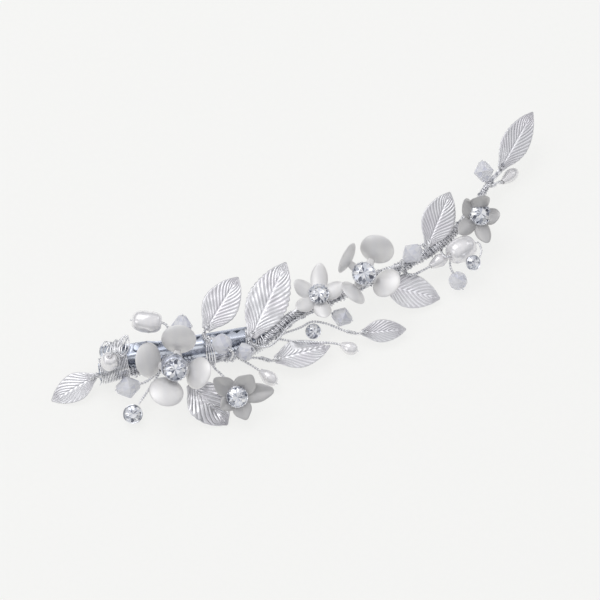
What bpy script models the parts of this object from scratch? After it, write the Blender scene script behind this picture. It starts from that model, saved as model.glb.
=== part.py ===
"""Sprung alligator hair clip that carries a wired spray of leaves, flowers, pearls and crystals.

Written in millimetres with the hinge at x = y = 0 and the table at z = 0, then moved by ORIGIN so
that the bottom centre of the whole piece is the origin. The clip lies on its side: +X runs from the
hinge to the jaws, the toothed arm is on the -Y side and the hinge pin stands along Z.
"""
import math

import bmesh
import bpy
from mathutils import Matrix, Vector

MM = 0.001
ORIGIN = Vector((-48.09, -14.5, 0.0))

# clip
CLIP_Z = 5.0            # height of the clip's middle plane above the table
SHEET = 0.5             # steel sheet
JAW_END = 34.0
TAB_END = -11.0
BACK_TAB_END = -9.6
FRONT_FACE = -2.2       # outer face of the toothed arm
TOOTH_PITCH = 2.7
TOOTH_ROOT = -0.4
TOOTH_TIP = 0.5
FIRST_NOTCH = 5.4
BACK_FACE = 1.3         # outer face of the smooth arm in the jaws
BACK_LUG_HALF = 3.75
PIN_RADIUS = 0.75
PIN_HOLE = 0.85
SPRING_MEAN = 1.25
SPRING_WIRE = 0.25
SPRING_TURNS = 4.5
SPRING_PITCH = 0.84

# wires
STEM_RADIUS = 1.2
BINDING_WIRE = 0.2
SPRIG_WIRE = 0.22
BORE = 0.5
LEAF_SHEET = 0.35
LEAF_HOLE = 0.5
PETAL_SHEET = 0.5
POST_RADIUS = 0.45
HUB_HOLE = 0.62

# stem path
STEM = [
    (-9.5, -4.7, 5.5), (-6.0, -4.2, 5.2), (0.0, -3.8, 4.0), (9.4, -3.75, 3.2), (20.0, -3.9, 3.2),
    (27.0, -3.9, 3.9), (31.2, -3.9, 5.8), (33.6, -3.7, 7.5), (36.4, -2.1, 8.0), (40.4, 1.1, 7.5),
    (44.9, 3.5, 7.2), (50.2, 5.1, 6.6), (56.7, 6.8, 6.2), (64.1, 9.2, 6.0), (70.1, 11.5, 6.0),
    (76.0, 12.9, 6.0), (82.9, 15.3, 6.0), (88.9, 18.6, 6.0), (94.1, 22.7, 6.0), (98.6, 26.8, 6.0),
    (102.0, 31.2, 6.0), (105.6, 35.0, 6.0), (108.3, 37.3, 6.0),
]

# leaves: name, base, tip, normal, half width, bend of the tip, side from which the wire enters
LEAVES = [
    ("leaf_1", (-12.1, -3.1, 4.0), (-24.6, -6.2, 0.3), (-0.1, -0.25, 1.0), 3.8, -0.2, 1),
    ("leaf_2", (18.9, 1.3, 10.6), (30.1, 13.6, 14.0), (0.1, -0.3, 1.0), 4.8, -0.8, -1),
    ("leaf_3", (30.3, -3.2, 10.2), (43.7, 15.9, 13.5), (0.1, -0.3, 1.0), 5.6, -1.0, -1),
    ("leaf_4", (35.8, -7.9, 4.2), (51.1, -6.9, 5.0), (0.0, -0.3, 1.0), 4.0, -1.4, -1),
    ("leaf_5", (60.4, -4.1, 3.6), (72.4, -5.0, 3.0), (0.0, -0.3, 1.0), 3.1, -0.5, -1),
    ("leaf_6", (12.2, -11.4, 6.0), (20.0, -22.8, 0.7), (0.1, -0.3, 1.0), 5.6, -1.0, 1),
    ("leaf_7", (69.4, 9.3, 3.6), (83.6, 3.1, 2.0), (0.0, -0.2, 1.0), 5.0, -0.5, 1),
    ("leaf_8", (83.1, 16.6, 8.0), (91.9, 28.9, 13.0), (0.2, -0.4, 1.0), 4.6, -0.6, 1),
    ("leaf_9", (108.2, 37.0, 7.2), (120.7, 51.6, 10.0), (0.3, -0.4, 1.0), 4.0, -0.5, -1),
]
HOLE_FROM_BASE = 1.3

# flowers: hub, facing, stone radius, post length, petals as (angle, centre distance, radius) discs
# or (angle, reach, half angle) pointed petals
DISC = "disc"
POINTED = "pointed"
FLOWERS = [
    ("flower_1", (8.6, -9.2, 10.0), (0.0, -0.35, 0.94), 2.7, 7.0, DISC,
     [(83, 8.2, 4.4), (138, 6.7, 4.2), (250, 6.2, 4.4), (357, 7.2, 4.4)]),
    ("flower_2", (50.5, 6.0, 9.0), (0.05, -0.12, 0.99), 2.4, 1.0, POINTED,
     [(88, 8.4, 34), (160, 7.0, 34), (215, 7.4, 28), (282, 7.0, 32), (15, 6.8, 32)]),
    ("flower_3", (63.5, 9.2, 10.7), (0.0, -0.3, 0.95), 2.8, 3.0, DISC,
     [(62, 7.5, 4.5), (134, 6.2, 4.0), (245, 6.3, 4.4), (340, 7.0, 4.8)]),
    ("flower_4", (98.2, 22.4, 9.0), (0.2, -0.35, 0.9), 2.7, 2.9, POINTED,
     [(95, 6.4, 36), (166, 7.4, 34), (228, 7.6, 30), (286, 7.8, 30), (352, 6.0, 32)]),
    ("flower_5", (23.6, -17.5, 5.9), (-0.05, -0.6, 0.8), 2.5, 2.8, POINTED,
     [(25, 8.6, 32), (95, 5.6, 34), (135, 6.6, 28), (215, 5.6, 32), (300, 5.8, 34)]),
]

# drilled beads: name, kind, centre, bore direction, length, radius
BEADS = [
    ("pearl_1", "pearl", (3.8, 5.5, 12.9), (0.96, -0.26, -0.08), 7.8, 3.0),
    ("crystal_1", "bicone", (12.7, 2.4, 12.8), (0.2, 0.75, 0.62), 5.6, 2.9),
    ("pearl_2", "pearl", (-8.1, -4.05, 12.1), (0.15, 0.1, 0.98), 4.6, 2.3),
    ("crystal_2", "bicone", (-4.2, -8.9, 5.3), (0.98, 0.1, -0.05), 6.2, 3.1),
    ("crystal_3", "round", (22.2, -4.7, 12.0), (0.55, -0.8, 0.2), 5.0, 2.7),
    ("crystal_4", "bicone", (28.1, -6.3, 8.5), (0.75, -0.2, 0.6), 5.0, 2.6),
    ("teardrop_1", "drop", (33.1, -12.1, 3.0), (0.66, -0.72, -0.15), 5.4, 1.9),
    ("crystal_5", "bicone", (56.1, 1.5, 4.0), (0.86, -0.4, -0.3), 5.4, 2.8),
    ("teardrop_2", "drop", (56.2, -7.3, 2.3), (0.85, -0.5, -0.1), 4.6, 1.8),
    ("crystal_6", "bicone", (78.0, 13.5, 10.4), (0.8, 0.35, 0.5), 5.6, 2.9),
    ("long_pearl", "drop", (85.1, 12.4, 5.6), (0.92, 0.39, 0.02), 5.2, 1.8),
    ("pearl_3", "pearl", (91.7, 13.6, 7.6), (0.9, 0.4, -0.15), 8.0, 3.4),
    ("crystal_7", "round", (89.5, 7.1, 2.6), (0.36, -0.81, -0.46), 4.8, 2.6),
    ("crystal_8", "bicone", (103.2, 36.2, 8.6), (0.0, 0.87, 0.45), 5.6, 2.8),
    ("pearl_4", "drop", (110.9, 36.9, 2.6), (0.78, 0.58, -0.2), 6.2, 1.8),
]

# rhinestone drops: name, centre, facing, radius
DROPS = [
    ("drop_1", (-4.2, -15.9, 3.0), (-0.1, -0.5, 0.86), 2.6),
    ("drop_2", (47.6, -1.3, 4.0), (0.0, -0.5, 0.86), 2.1),
    ("drop_3", (93.7, 8.4, 8.6), (0.3, -0.5, 0.8), 2.1),
]

MATERIALS = {
    "clip_steel": ((0.62, 0.65, 0.70), 0.22, 1.0),
    "silver_wire": ((0.86, 0.87, 0.88), 0.22, 1.0),
    "leaf_silver": ((0.90, 0.90, 0.91), 0.25, 1.0),
    "petal_enamel": ((0.72, 0.71, 0.69), 0.30, 0.0),
    "setting_silver": ((0.80, 0.81, 0.83), 0.18, 1.0),
    "rhinestone": ((0.90, 0.92, 0.96), 0.03, 0.0),
    "crystal": ((0.82, 0.83, 0.92), 0.05, 0.0),
    "pearl": ((0.88, 0.87, 0.86), 0.25, 0.0),
}


def start():
    """Empty the scene and make the two collections."""
    for item in list(bpy.data.objects):
        bpy.data.objects.remove(item, do_unlink=True)
    parts = bpy.data.collections.new("rhinestone_hair_clip")
    cutters = bpy.data.collections.new("cutters")
    bpy.context.scene.collection.children.link(parts)
    bpy.context.scene.collection.children.link(cutters)
    return parts, cutters


def make_materials():
    """One principled material for every material slot."""
    made = {}
    for name, (color, roughness, metallic) in MATERIALS.items():
        material = bpy.data.materials.new(name)
        material.use_nodes = True
        shader = material.node_tree.nodes["Principled BSDF"]
        shader.inputs["Base Color"].default_value = (*color, 1.0)
        shader.inputs["Roughness"].default_value = roughness
        shader.inputs["Metallic"].default_value = metallic
        made[name] = material
    return made


PARTS, CUTTERS = start()
SLOTS = make_materials()


def world(point):
    """Design millimetres to world metres."""
    return (Vector(point) + ORIGIN) * MM


def turned(normal, along):
    """Rotation whose Z is the normal and whose X lies as near to `along` as it can."""
    z = Vector(normal).normalized()
    x = Vector(along)
    x = (x - z * x.dot(z)).normalized()
    y = z.cross(x)
    return Matrix((x, y, z)).transposed()


def add_mesh(name, slot, verts, faces, centre=None, rotation=None, edges=()):
    """Mesh object from millimetre vertices; local when a centre is given."""
    mesh = bpy.data.meshes.new(name)
    if centre is None:
        points = [world(v) for v in verts]
    else:
        points = [Vector(v) * MM for v in verts]
    mesh.from_pydata(points, edges, faces)
    mesh.update()
    obj = bpy.data.objects.new(name, mesh)
    PARTS.objects.link(obj)
    mesh.materials.append(SLOTS[slot])
    if centre is not None:
        matrix = rotation.to_4x4() if rotation else Matrix.Identity(4)
        matrix.translation = world(centre)
        obj.matrix_world = matrix
    return obj


def add_curve(name, slot, points, radius, ring, factors=None):
    """Round wire along a polyline, closed with caps."""
    data = bpy.data.curves.new(name, "CURVE")
    data.dimensions = "3D"
    data.bevel_depth = radius * MM
    data.bevel_resolution = ring
    data.use_fill_caps = True
    spline = data.splines.new("POLY")
    spline.points.add(len(points) - 1)
    for index, point in enumerate(points):
        spline.points[index].co = (*world(point), 1.0)
        if factors:
            spline.points[index].radius = factors[index]
    obj = bpy.data.objects.new(name, data)
    PARTS.objects.link(obj)
    data.materials.append(SLOTS[slot])
    return obj


def smooth_path(points, per_span):
    """Catmull-Rom points through the given ones."""
    knots = [Vector(p) for p in points]
    result = []
    for index in range(len(knots) - 1):
        before = knots[max(index - 1, 0)]
        start_knot = knots[index]
        end_knot = knots[index + 1]
        after = knots[min(index + 2, len(knots) - 1)]
        for step in range(per_span):
            t = step / per_span
            point = 2.0 * start_knot
            point = point + (end_knot - before) * t
            point = point + (2.0 * before - 5.0 * start_knot + 4.0 * end_knot - after) * t * t
            point = point + (3.0 * start_knot - before - 3.0 * end_knot + after) * t ** 3
            result.append(point * 0.5)
    result.append(knots[-1])
    return result


def solidify(obj, thickness, offset):
    """Give an open sheet its thickness."""
    modifier = obj.modifiers.new("sheet", "SOLIDIFY")
    modifier.thickness = thickness * MM
    modifier.offset = offset
    modifier.use_even_offset = True


def drill(obj, centre, axis, radius, length, steps=10):
    """Cut a round hole through an object."""
    name = obj.name + "_hole"
    mesh = bpy.data.meshes.new(name)
    shape = bmesh.new()
    bmesh.ops.create_cone(
        shape, cap_ends=True, segments=steps, radius1=radius * MM, radius2=radius * MM,
        depth=length * MM)
    shape.to_mesh(mesh)
    shape.free()
    cutter = bpy.data.objects.new(name, mesh)
    CUTTERS.objects.link(cutter)
    side = (0.0, 0.0, 1.0) if abs(Vector(axis).normalized().z) < 0.9 else (1.0, 0.0, 0.0)
    matrix = turned(axis, side).to_4x4()
    matrix.translation = world(centre)
    cutter.matrix_world = matrix
    cutter.hide_render = True
    cutter.display_type = "WIRE"
    modifier = obj.modifiers.new("hole", "BOOLEAN")
    modifier.operation = "DIFFERENCE"
    modifier.solver = "EXACT"
    modifier.object = cutter


def turn(name, slot, profile, closed, centre, axis, steps):
    """Turn a profile of (radius, height) pairs about the axis."""
    verts = [(r, 0.0, z) for r, z in profile]
    edges = [(i, i + 1) for i in range(len(verts) - 1)]
    if closed:
        edges.append((len(verts) - 1, 0))
    side = (1.0, 0.0, 0.0) if abs(Vector(axis).normalized().x) < 0.8 else (0.0, 0.0, 1.0)
    obj = add_mesh(name, slot, verts, [], centre, turned(axis, side), edges)
    modifier = obj.modifiers.new("turn", "SCREW")
    modifier.axis = "Z"
    modifier.angle = math.tau
    modifier.steps = steps
    modifier.render_steps = steps
    modifier.use_merge_vertices = True
    modifier.merge_threshold = 0.00001
    modifier.use_smooth_shade = False
    return obj


def grid_faces(rows, columns, ring=False):
    """Quads between neighbouring rows; the rows close on themselves when `ring` is set."""
    faces = []
    last = columns if ring else columns - 1
    for i in range(rows - 1):
        for j in range(last):
            k = (j + 1) % columns
            faces.append((i * columns + j, (i + 1) * columns + j, (i + 1) * columns + k, i * columns + k))
    return faces


# ---------------------------------------------------------------- clip

def front_half(x):
    """Half the width of the toothed arm at x."""
    if x < -2.6:
        return 4.5 + (x + 2.6) * 0.06
    if x < 2.6:
        return 4.5
    return 4.5 - (x - 2.6) * 0.028


def front_arm():
    """Toothed channel with lugs and thumb tab."""
    stations = [
        (TAB_END, -2.3, -3.3), (-8.0, -1.9, -2.8), (-5.0, -1.5, -2.4), (-2.8, -1.3, FRONT_FACE),
        (-1.9, 0.6, FRONT_FACE), (-1.1, 1.5, FRONT_FACE), (0.0, 1.8, FRONT_FACE),
        (1.1, 1.5, FRONT_FACE), (1.9, 0.6, FRONT_FACE), (2.8, TOOTH_ROOT, FRONT_FACE),
    ]
    x = FIRST_NOTCH
    while x < JAW_END - 1.0:
        stations.append((x, TOOTH_ROOT, FRONT_FACE))
        stations.append((x + TOOTH_PITCH / 2, TOOTH_TIP, FRONT_FACE))
        x += TOOTH_PITCH
    stations.append((JAW_END + 0.4, TOOTH_TIP - 0.3, FRONT_FACE + 0.1))
    verts = []
    for x, edge, face in stations:
        half = front_half(x)
        low = CLIP_Z - half
        high = CLIP_Z + half
        verts.append((x, edge, low))
        verts.append((x, face + 0.4, low))
        verts.append((x, face, low + 0.4))
        verts.append((x, face, high - 0.4))
        verts.append((x, face + 0.4, high))
        verts.append((x, edge, high))
    arm = add_mesh("clip_front_arm", "clip_steel", verts, grid_faces(len(stations), 6))
    solidify(arm, SHEET, -1.0)
    drill(arm, (0.0, 0.0, CLIP_Z), (0.0, 0.0, 1.0), PIN_HOLE, 12.0, 12)
    return arm


def back_arm():
    """Smooth arm with two inner lugs and a thumb tab that flares a little."""
    # x, outer face, half width, lug edge (None where the section is a flat plate)
    stations = [
        (BACK_TAB_END, 3.0, 3.7, None), (-8.0, 2.8, 4.0, None), (-5.0, 2.6, 4.0, None),
        (-3.0, 2.5, BACK_LUG_HALF, None), (-1.9, 2.5, BACK_LUG_HALF, 0.8),
        (-1.3, 2.5, BACK_LUG_HALF, -0.6), (-0.6, 2.5, BACK_LUG_HALF, -1.25),
        (0.6, 2.5, BACK_LUG_HALF, -1.25), (1.3, 2.5, BACK_LUG_HALF, -0.6),
        (1.9, 2.5, BACK_LUG_HALF, 0.8), (3.0, 2.3, BACK_LUG_HALF, None),
        (5.6, BACK_FACE, 4.3, None), (12.0, BACK_FACE, 4.2, None), (20.0, BACK_FACE, 4.0, None),
        (28.0, BACK_FACE, 3.8, None), (JAW_END, BACK_FACE, 3.5, None),
    ]
    verts = []
    for x, face, half, edge in stations:
        low = CLIP_Z - half
        high = CLIP_Z + half
        if edge is None:
            drop = (0.2, 0.06)
            verts.append((x, face - drop[0], high))
            verts.append((x, face - drop[1], high - 0.4))
            verts.append((x, face, high - 0.9))
            verts.append((x, face, low + 0.9))
            verts.append((x, face - drop[1], low + 0.4))
            verts.append((x, face - drop[0], low))
        else:
            verts.append((x, edge, high))
            verts.append((x, face - 0.5, high))
            verts.append((x, face, high - 0.5))
            verts.append((x, face, low + 0.5))
            verts.append((x, face - 0.5, low))
            verts.append((x, edge, low))
    arm = add_mesh("clip_back_arm", "clip_steel", verts, grid_faces(len(stations), 6))
    solidify(arm, SHEET, -1.0)
    drill(arm, (0.0, 0.0, CLIP_Z), (0.0, 0.0, 1.0), PIN_HOLE, 12.0, 12)
    return arm


def hinge():
    """Pin with two heads, spring coil with its front leg, and the back leg."""
    half = 4.62
    head = 5.0
    profile = [
        (0.0, head), (0.95, head), (1.15, half + 0.15), (1.15, half), (PIN_RADIUS, half),
        (PIN_RADIUS, -half), (1.15, -half), (1.15, -half - 0.15), (0.95, -head), (0.0, -head),
    ]
    turn("hinge_pin", "clip_steel", profile, False, (0.0, 0.0, CLIP_Z), (0.0, 0.0, 1.0), 12)
    low = CLIP_Z - SPRING_TURNS * SPRING_PITCH / 2
    high = CLIP_Z + SPRING_TURNS * SPRING_PITCH / 2
    points = [(-6.6, -1.75, low), (-3.0, -1.32, low)]
    steps = int(SPRING_TURNS * 8)
    for step in range(steps + 1):
        angle = -math.pi / 2 + math.tau * SPRING_TURNS * step / steps
        height = low + (high - low) * step / steps
        points.append((SPRING_MEAN * math.cos(angle), SPRING_MEAN * math.sin(angle), height))
    add_curve("spring_coil", "clip_steel", points, SPRING_WIRE, 1)
    leg = [(-0.75, 1.36, high), (-1.6, 1.5, high), (-3.0, 1.66, high), (-6.9, 1.85, high)]
    add_curve("spring_leg", "clip_steel", leg, SPRING_WIRE, 1)


# ---------------------------------------------------------------- wires

def stem():
    """Tapered bundle of twisted wires; its end runs on through the last leaf's hole."""
    base, tip, normal = LEAVES[8][1:4]
    hole, facing = leaf_hole(base, tip, normal)
    path = smooth_path(STEM, 2)
    factors = []
    for point in path:
        factors.append(1.0 if point.x < 90.0 else max(0.5, 1.0 - (point.x - 90.0) * 0.035))
    path = path + [hole - facing * 1.0, hole + facing * 0.6]
    factors = factors + [0.25, 0.25]
    add_curve("stem_core", "silver_wire", path, STEM_RADIUS, 2, factors)


def stem_at(x):
    """Height and depth of the stem's middle at x."""
    for start_knot, end_knot in zip(STEM, STEM[1:]):
        if start_knot[0] <= x <= end_knot[0]:
            t = (x - start_knot[0]) / (end_knot[0] - start_knot[0])
            return (
                start_knot[1] + (end_knot[1] - start_knot[1]) * t,
                start_knot[2] + (end_knot[2] - start_knot[2]) * t)
    return STEM[0][1:]


def binding_turns(first, pitch, turns, inner, spare=0.08):
    """Loops round stem and toothed arm, crossing behind the flanges at depth `inner`.

    `spare` is the room left round the stem, more where the stem climbs.
    """
    points = []
    for index in range(turns):
        at = first + pitch * index
        half = front_half(at)
        low = CLIP_Z - half
        high = CLIP_Z + half
        face = FRONT_FACE if at > -2.0 else FRONT_FACE + (at + 2.0) * 0.13
        reach = STEM_RADIUS + BINDING_WIRE + spare
        depth, height = stem_at(at - pitch * 0.4)
        points.append((at - pitch * 0.4, depth - 0.6, height - reach))
        points.append((at - pitch * 0.25, face - 0.35, low + 0.1))
        points.append((at - pitch * 0.12, face + 0.3, low - 0.28))
        points.append((at, inner, low - 0.28))
        points.append((at, inner, high + 0.28))
        depth, height = stem_at(at + pitch * 0.42)
        over = height + reach + 0.1
        points.append((at + pitch * 0.12, face - 0.15, max(high + 0.28, over)))
        points.append((at + pitch * 0.25, min(face - 0.9, depth - 0.7), max(high - 0.9, over)))
        points.append((at + pitch * 0.4, depth - reach, height + 0.6))
        points.append((at + pitch * 0.5, depth - reach, height - 0.6))
    return points


def binding():
    """One fine wire: turns at the tab, at the middle and at the jaw end, joined under the stem."""
    under = STEM_RADIUS + BINDING_WIRE + 0.2
    points = binding_turns(-7.8, 1.3, 3, -1.1)
    for x in (-3.6, 0.0, 4.7, 9.4, 16.4):
        depth, height = stem_at(x)
        points.append((x, depth - 0.1, height - under))
    points += binding_turns(FIRST_NOTCH + 5 * TOOTH_PITCH, TOOTH_PITCH, 3, -0.12)
    depth, height = stem_at(26.6)
    points.append((26.6, depth - 0.3, height - under))
    points += binding_turns(FIRST_NOTCH + 9 * TOOTH_PITCH, TOOTH_PITCH, 2, -0.12, 0.5)
    add_curve("binding_wire", "silver_wire", points, BINDING_WIRE, 0)


def leaf_hole(base, tip, normal):
    """Centre of a leaf's wire hole and the leaf's facing."""
    along = (Vector(tip) - Vector(base)).normalized()
    facing = Vector(normal)
    facing = (facing - along * facing.dot(along)).normalized()
    return Vector(base) + along * HOLE_FROM_BASE, facing


def leaf_end(name, outwards):
    """Wire points through a leaf's hole, from the stem side outwards (or the reverse)."""
    for leaf, base, tip, normal, half, bend, side in LEAVES:
        if leaf == name:
            hole, facing = leaf_hole(base, tip, normal)
            along = (Vector(tip) - Vector(base)).normalized()
            points = [
                Vector(base) - along * 0.9 + facing * 0.75 * side,
                hole + facing * 0.95 * side,
                hole - facing * 0.7 * side,
            ]
            return points if outwards else points[::-1]
    raise ValueError(name)


def bead_span(name, extra, reverse=False):
    """Two wire points, one on each side of a drilled bead."""
    for bead, kind, centre, axis, length, radius in BEADS:
        if bead == name:
            step = Vector(axis).normalized() * (length / 2 + extra)
            points = [Vector(centre) - step, Vector(centre) + step]
            return points[::-1] if reverse else points
    raise ValueError(name)


def sprig(name, points):
    """One formed wire."""
    add_curve(name, "silver_wire", [Vector(p) for p in points], SPRIG_WIRE, 0)


def sprigs():
    """Eleven formed wires, each running from one ornament to the stem and out to the next."""
    sprig("sprig_wire_a", leaf_end("leaf_1", False) + [
        (-11.8, -4.0, 5.7), (-9.4, -5.4, 7.1), (-8.6, -4.7, 7.5)] + bead_span("pearl_2", 0.6))
    sprig("sprig_wire_b", bead_span("crystal_2", 0.5) + [
        (2.4, -7.3, 4.9), (4.6, -5.25, 4.0), (4.2, -6.4, 4.0), (0.6, -10.6, 3.8), (-2.3, -13.6, 3.3)])
    sprig("sprig_wire_c", bead_span("pearl_1", 0.6) + [
        (8.9, 0.6, 11.6), (9.8, -2.8, 9.9), (10.0, -2.8, 5.0), (11.0, -2.8, 5.0), (11.2, -2.8, 10.0),
        (11.9, -0.6, 10.7)] + bead_span("crystal_1", 0.5))
    sprig("sprig_wire_d", leaf_end("leaf_6", False) + [
        (17.0, -6.6, 5.6), (19.0, -5.3, 4.0), (19.5, -6.8, 3.6), (21.8, -10.5, 3.4), (23.8, -15.2, 3.2)])
    sprig("sprig_wire_e", leaf_end("leaf_2", False) + [
        (18.6, -1.6, 10.4)] + bead_span("crystal_3", 0.4) + [
        (24.6, -7.4, 10.8), (24.2, -6.1, 6.0), (24.1, -5.5, 4.3), (24.9, -6.4, 5.4)] + bead_span("crystal_4", 0.5))
    sprig("sprig_wire_f", leaf_end("leaf_3", False) + [
        (31.4, -5.6, 9.3), (34.6, -6.0, 8.6), (37.8, -3.9, 8.2), (41.4, -0.4, 8.0), (45.6, 1.9, 7.3),
        (50.4, 3.4, 6.2)] + bead_span("crystal_5", 0.5))
    sprig("sprig_wire_g", bead_span("teardrop_1", 0.5, True) + [
        (28.0, -6.9, 4.0), (27.0, -5.45, 3.9), (28.2, -6.2, 4.8), (32.0, -7.0, 4.8)]
        + leaf_end("leaf_4", True))
    sprig("sprig_wire_h", leaf_end("leaf_5", False) + [
        (56.1, -2.6, 3.4), (51.5, 0.1, 4.4), (47.8, 1.3, 4.6), (44.4, 0.0, 4.9), (37.6, -2.3, 6.4),
        (38.6, -3.2, 6.0), (43.0, -4.0, 4.6), (50.0, -4.9, 3.2)] + bead_span("teardrop_2", 0.5))
    sprig("sprig_wire_i", leaf_end("leaf_7", False) + [
        (73.2, 10.7, 5.6), (75.0, 11.2, 7.4)] + bead_span("crystal_6", 0.5)
        + leaf_end("leaf_8", True))
    sprig("sprig_wire_j", bead_span("crystal_7", 0.5, True) + [
        (88.2, 11.2, 4.6)] + bead_span("long_pearl", 0.8, True) + [
        (77.5, 10.0, 5.0), (75.6, 11.4, 4.7), (77.5, 13.1, 4.3), (82.9, 15.2, 4.3), (86.4, 16.8, 4.3)]
        + bead_span("pearl_3", 0.6) + [(97.2, 13.0, 7.2), (95.9, 9.7, 8.4)])
    sprig("sprig_wire_k", bead_span("crystal_8", 0.5, True) + [
        (103.9, 32.6, 7.0), (105.3, 33.0, 5.8), (107.6, 34.8, 4.2)] + bead_span("pearl_4", 0.5))


# ---------------------------------------------------------------- ornaments

def leaf(name, base, tip, normal, half_width, bend, side):
    """Pointed, slightly folded and bent leaf of thin sheet."""
    start_point = Vector(base)
    along = Vector(tip) - start_point
    length = along.length
    rotation = turned(leaf_hole(base, tip, normal)[1], along)
    outline = [(0.0, 0.28), (0.1, 0.42), (0.22, 0.74), (0.38, 0.98), (0.55, 0.95), (0.72, 0.7),
               (0.87, 0.38), (1.0, 0.07)]
    across = [-1.0, -0.5, 0.0, 0.5, 1.0]
    verts = []
    for share, width in outline:
        lift = bend * (share - 0.25) ** 2 if share > 0.25 else 0.0
        for side_share in across:
            y = side_share * width * half_width
            fold = 0.16 * abs(y)
            verts.append((share * length, -y, lift + fold))
    obj = add_mesh(name, "leaf_silver", verts, grid_faces(len(outline), len(across)), base, rotation)
    solidify(obj, LEAF_SHEET, 0.0)
    hole, facing = leaf_hole(base, tip, normal)
    drill(obj, hole, facing, LEAF_HOLE, 2.0, 8)
    return obj


def reach_of(angle, kind, petals):
    """How far the flower's outline reaches in one direction."""
    best = 2.3
    for petal in petals:
        turn_from = (angle - math.radians(petal[0]) + math.pi) % math.tau - math.pi
        if kind == DISC:
            across = petal[1] * math.sin(turn_from)
            if abs(across) < petal[2] and math.cos(turn_from) > 0.0:
                reach = petal[1] * math.cos(turn_from) + math.sqrt(petal[2] ** 2 - across ** 2)
                best = max(best, reach)
        else:
            share = abs(math.degrees(turn_from)) / petal[2]
            if share < 1.0:
                best = max(best, 2.3 + (petal[1] - 2.3) * (1.0 - share ** 1.8))
    return best


def petals_of(name, hub, facing, kind, petals, segments=30):
    """Stamped blossom: one lobed and cupped sheet with a hole at its hub."""
    rotation = turned(facing, (0.98, -0.2, 0.0))
    shares = [0.0, 0.18, 0.6, 1.0]
    verts = []
    for share in shares:
        for step in range(segments):
            angle = -math.tau * step / segments
            reach = reach_of(angle, kind, petals)
            radius = HUB_HOLE + (reach - HUB_HOLE) * share
            lift = 0.016 * radius * radius
            verts.append((radius * math.cos(angle), radius * math.sin(angle), lift))
    obj = add_mesh(
        name, "petal_enamel", verts, grid_faces(len(shares), segments, True), hub, rotation)
    solidify(obj, PETAL_SHEET, 0.0)
    return obj


def flower(name, hub, facing, stone_radius, post, kind, petals):
    """Petals, riveted cup and stone of one flower."""
    petals_of(name + "_petals", hub, facing, kind, petals)
    rim = stone_radius + 0.4
    cup = [
        (0.0, 0.95), (1.2, 0.95), (stone_radius, 2.3), (rim, 2.3), (rim, 1.8), (1.9, 0.5),
        (POST_RADIUS, 0.42), (POST_RADIUS, -post), (0.0, -post),
    ]
    turn(name + "_setting", "setting_silver", cup, False, hub, facing, 10)
    girdle = stone_radius + 0.05
    stone = [
        (0.0, 3.25), (girdle * 0.58, 3.25), (girdle, 2.6), (girdle, 2.42), (0.0, 1.1),
    ]
    turn(name + "_stone", "rhinestone", stone, False, hub, facing, 10)


def bead(name, kind, centre, axis, length, radius):
    """Drilled pearl or faceted bead."""
    half = length / 2
    if kind == "bicone":
        slot = "crystal"
        outer = [(0.34, 1.0), (0.97, 0.1), (0.97, -0.1), (0.34, -1.0)]
        steps = 8
    elif kind == "round":
        slot = "crystal"
        outer = [(0.42, 1.0), (0.86, 0.55), (1.0, 0.0), (0.86, -0.55), (0.42, -1.0)]
        steps = 8
    elif kind == "drop":
        slot = "pearl"
        outer = [(0.4, 1.0), (0.86, 0.6), (1.0, 0.1), (0.78, -0.45), (0.42, -1.0)]
        steps = 10
    else:
        slot = "pearl"
        outer = [(0.3, 1.0), (0.76, 0.74), (0.98, 0.28), (0.98, -0.28), (0.76, -0.74), (0.3, -1.0)]
        steps = 10
    profile = [(r * radius, z * half) for r, z in outer]
    profile = profile + [(BORE, -half), (BORE, half)]
    turn(name, slot, profile, True, centre, axis, steps)


def drop(name, centre, facing, radius):
    """Small rhinestone glued in a rimmed cup."""
    profile = [
        (0.0, 1.35), (radius * 0.5, 1.35), (radius * 0.84, 0.7), (radius * 0.86, 0.45),
        (radius, 0.45), (radius, -0.3), (radius * 0.6, -1.0), (0.0, -1.0),
    ]
    turn(name, "rhinestone", profile, False, centre, facing, 10)


def shade():
    """Smooth shading with sharp edges kept."""
    for obj in PARTS.objects:
        if obj.type == "MESH":
            for polygon in obj.data.polygons:
                polygon.use_smooth = obj.name.startswith(("leaf", "flower"))


front_arm()
back_arm()
hinge()
stem()
binding()
sprigs()
for leaf_row in LEAVES:
    leaf(*leaf_row)
for flower_row in FLOWERS:
    flower(*flower_row)
for bead_row in BEADS:
    bead(*bead_row)
for drop_row in DROPS:
    drop(*drop_row)
shade()
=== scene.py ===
"""Looks of the wired bridal hair clip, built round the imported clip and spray.

Lengths in the tables are design millimetres with the hinge pin at x = y = 0 and the table top at
z = 0. `place` turns them into the frame's metres.
"""
import contextlib
import math
import random

import bmesh
import bpy
from mathutils import Matrix, Vector, noise


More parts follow.
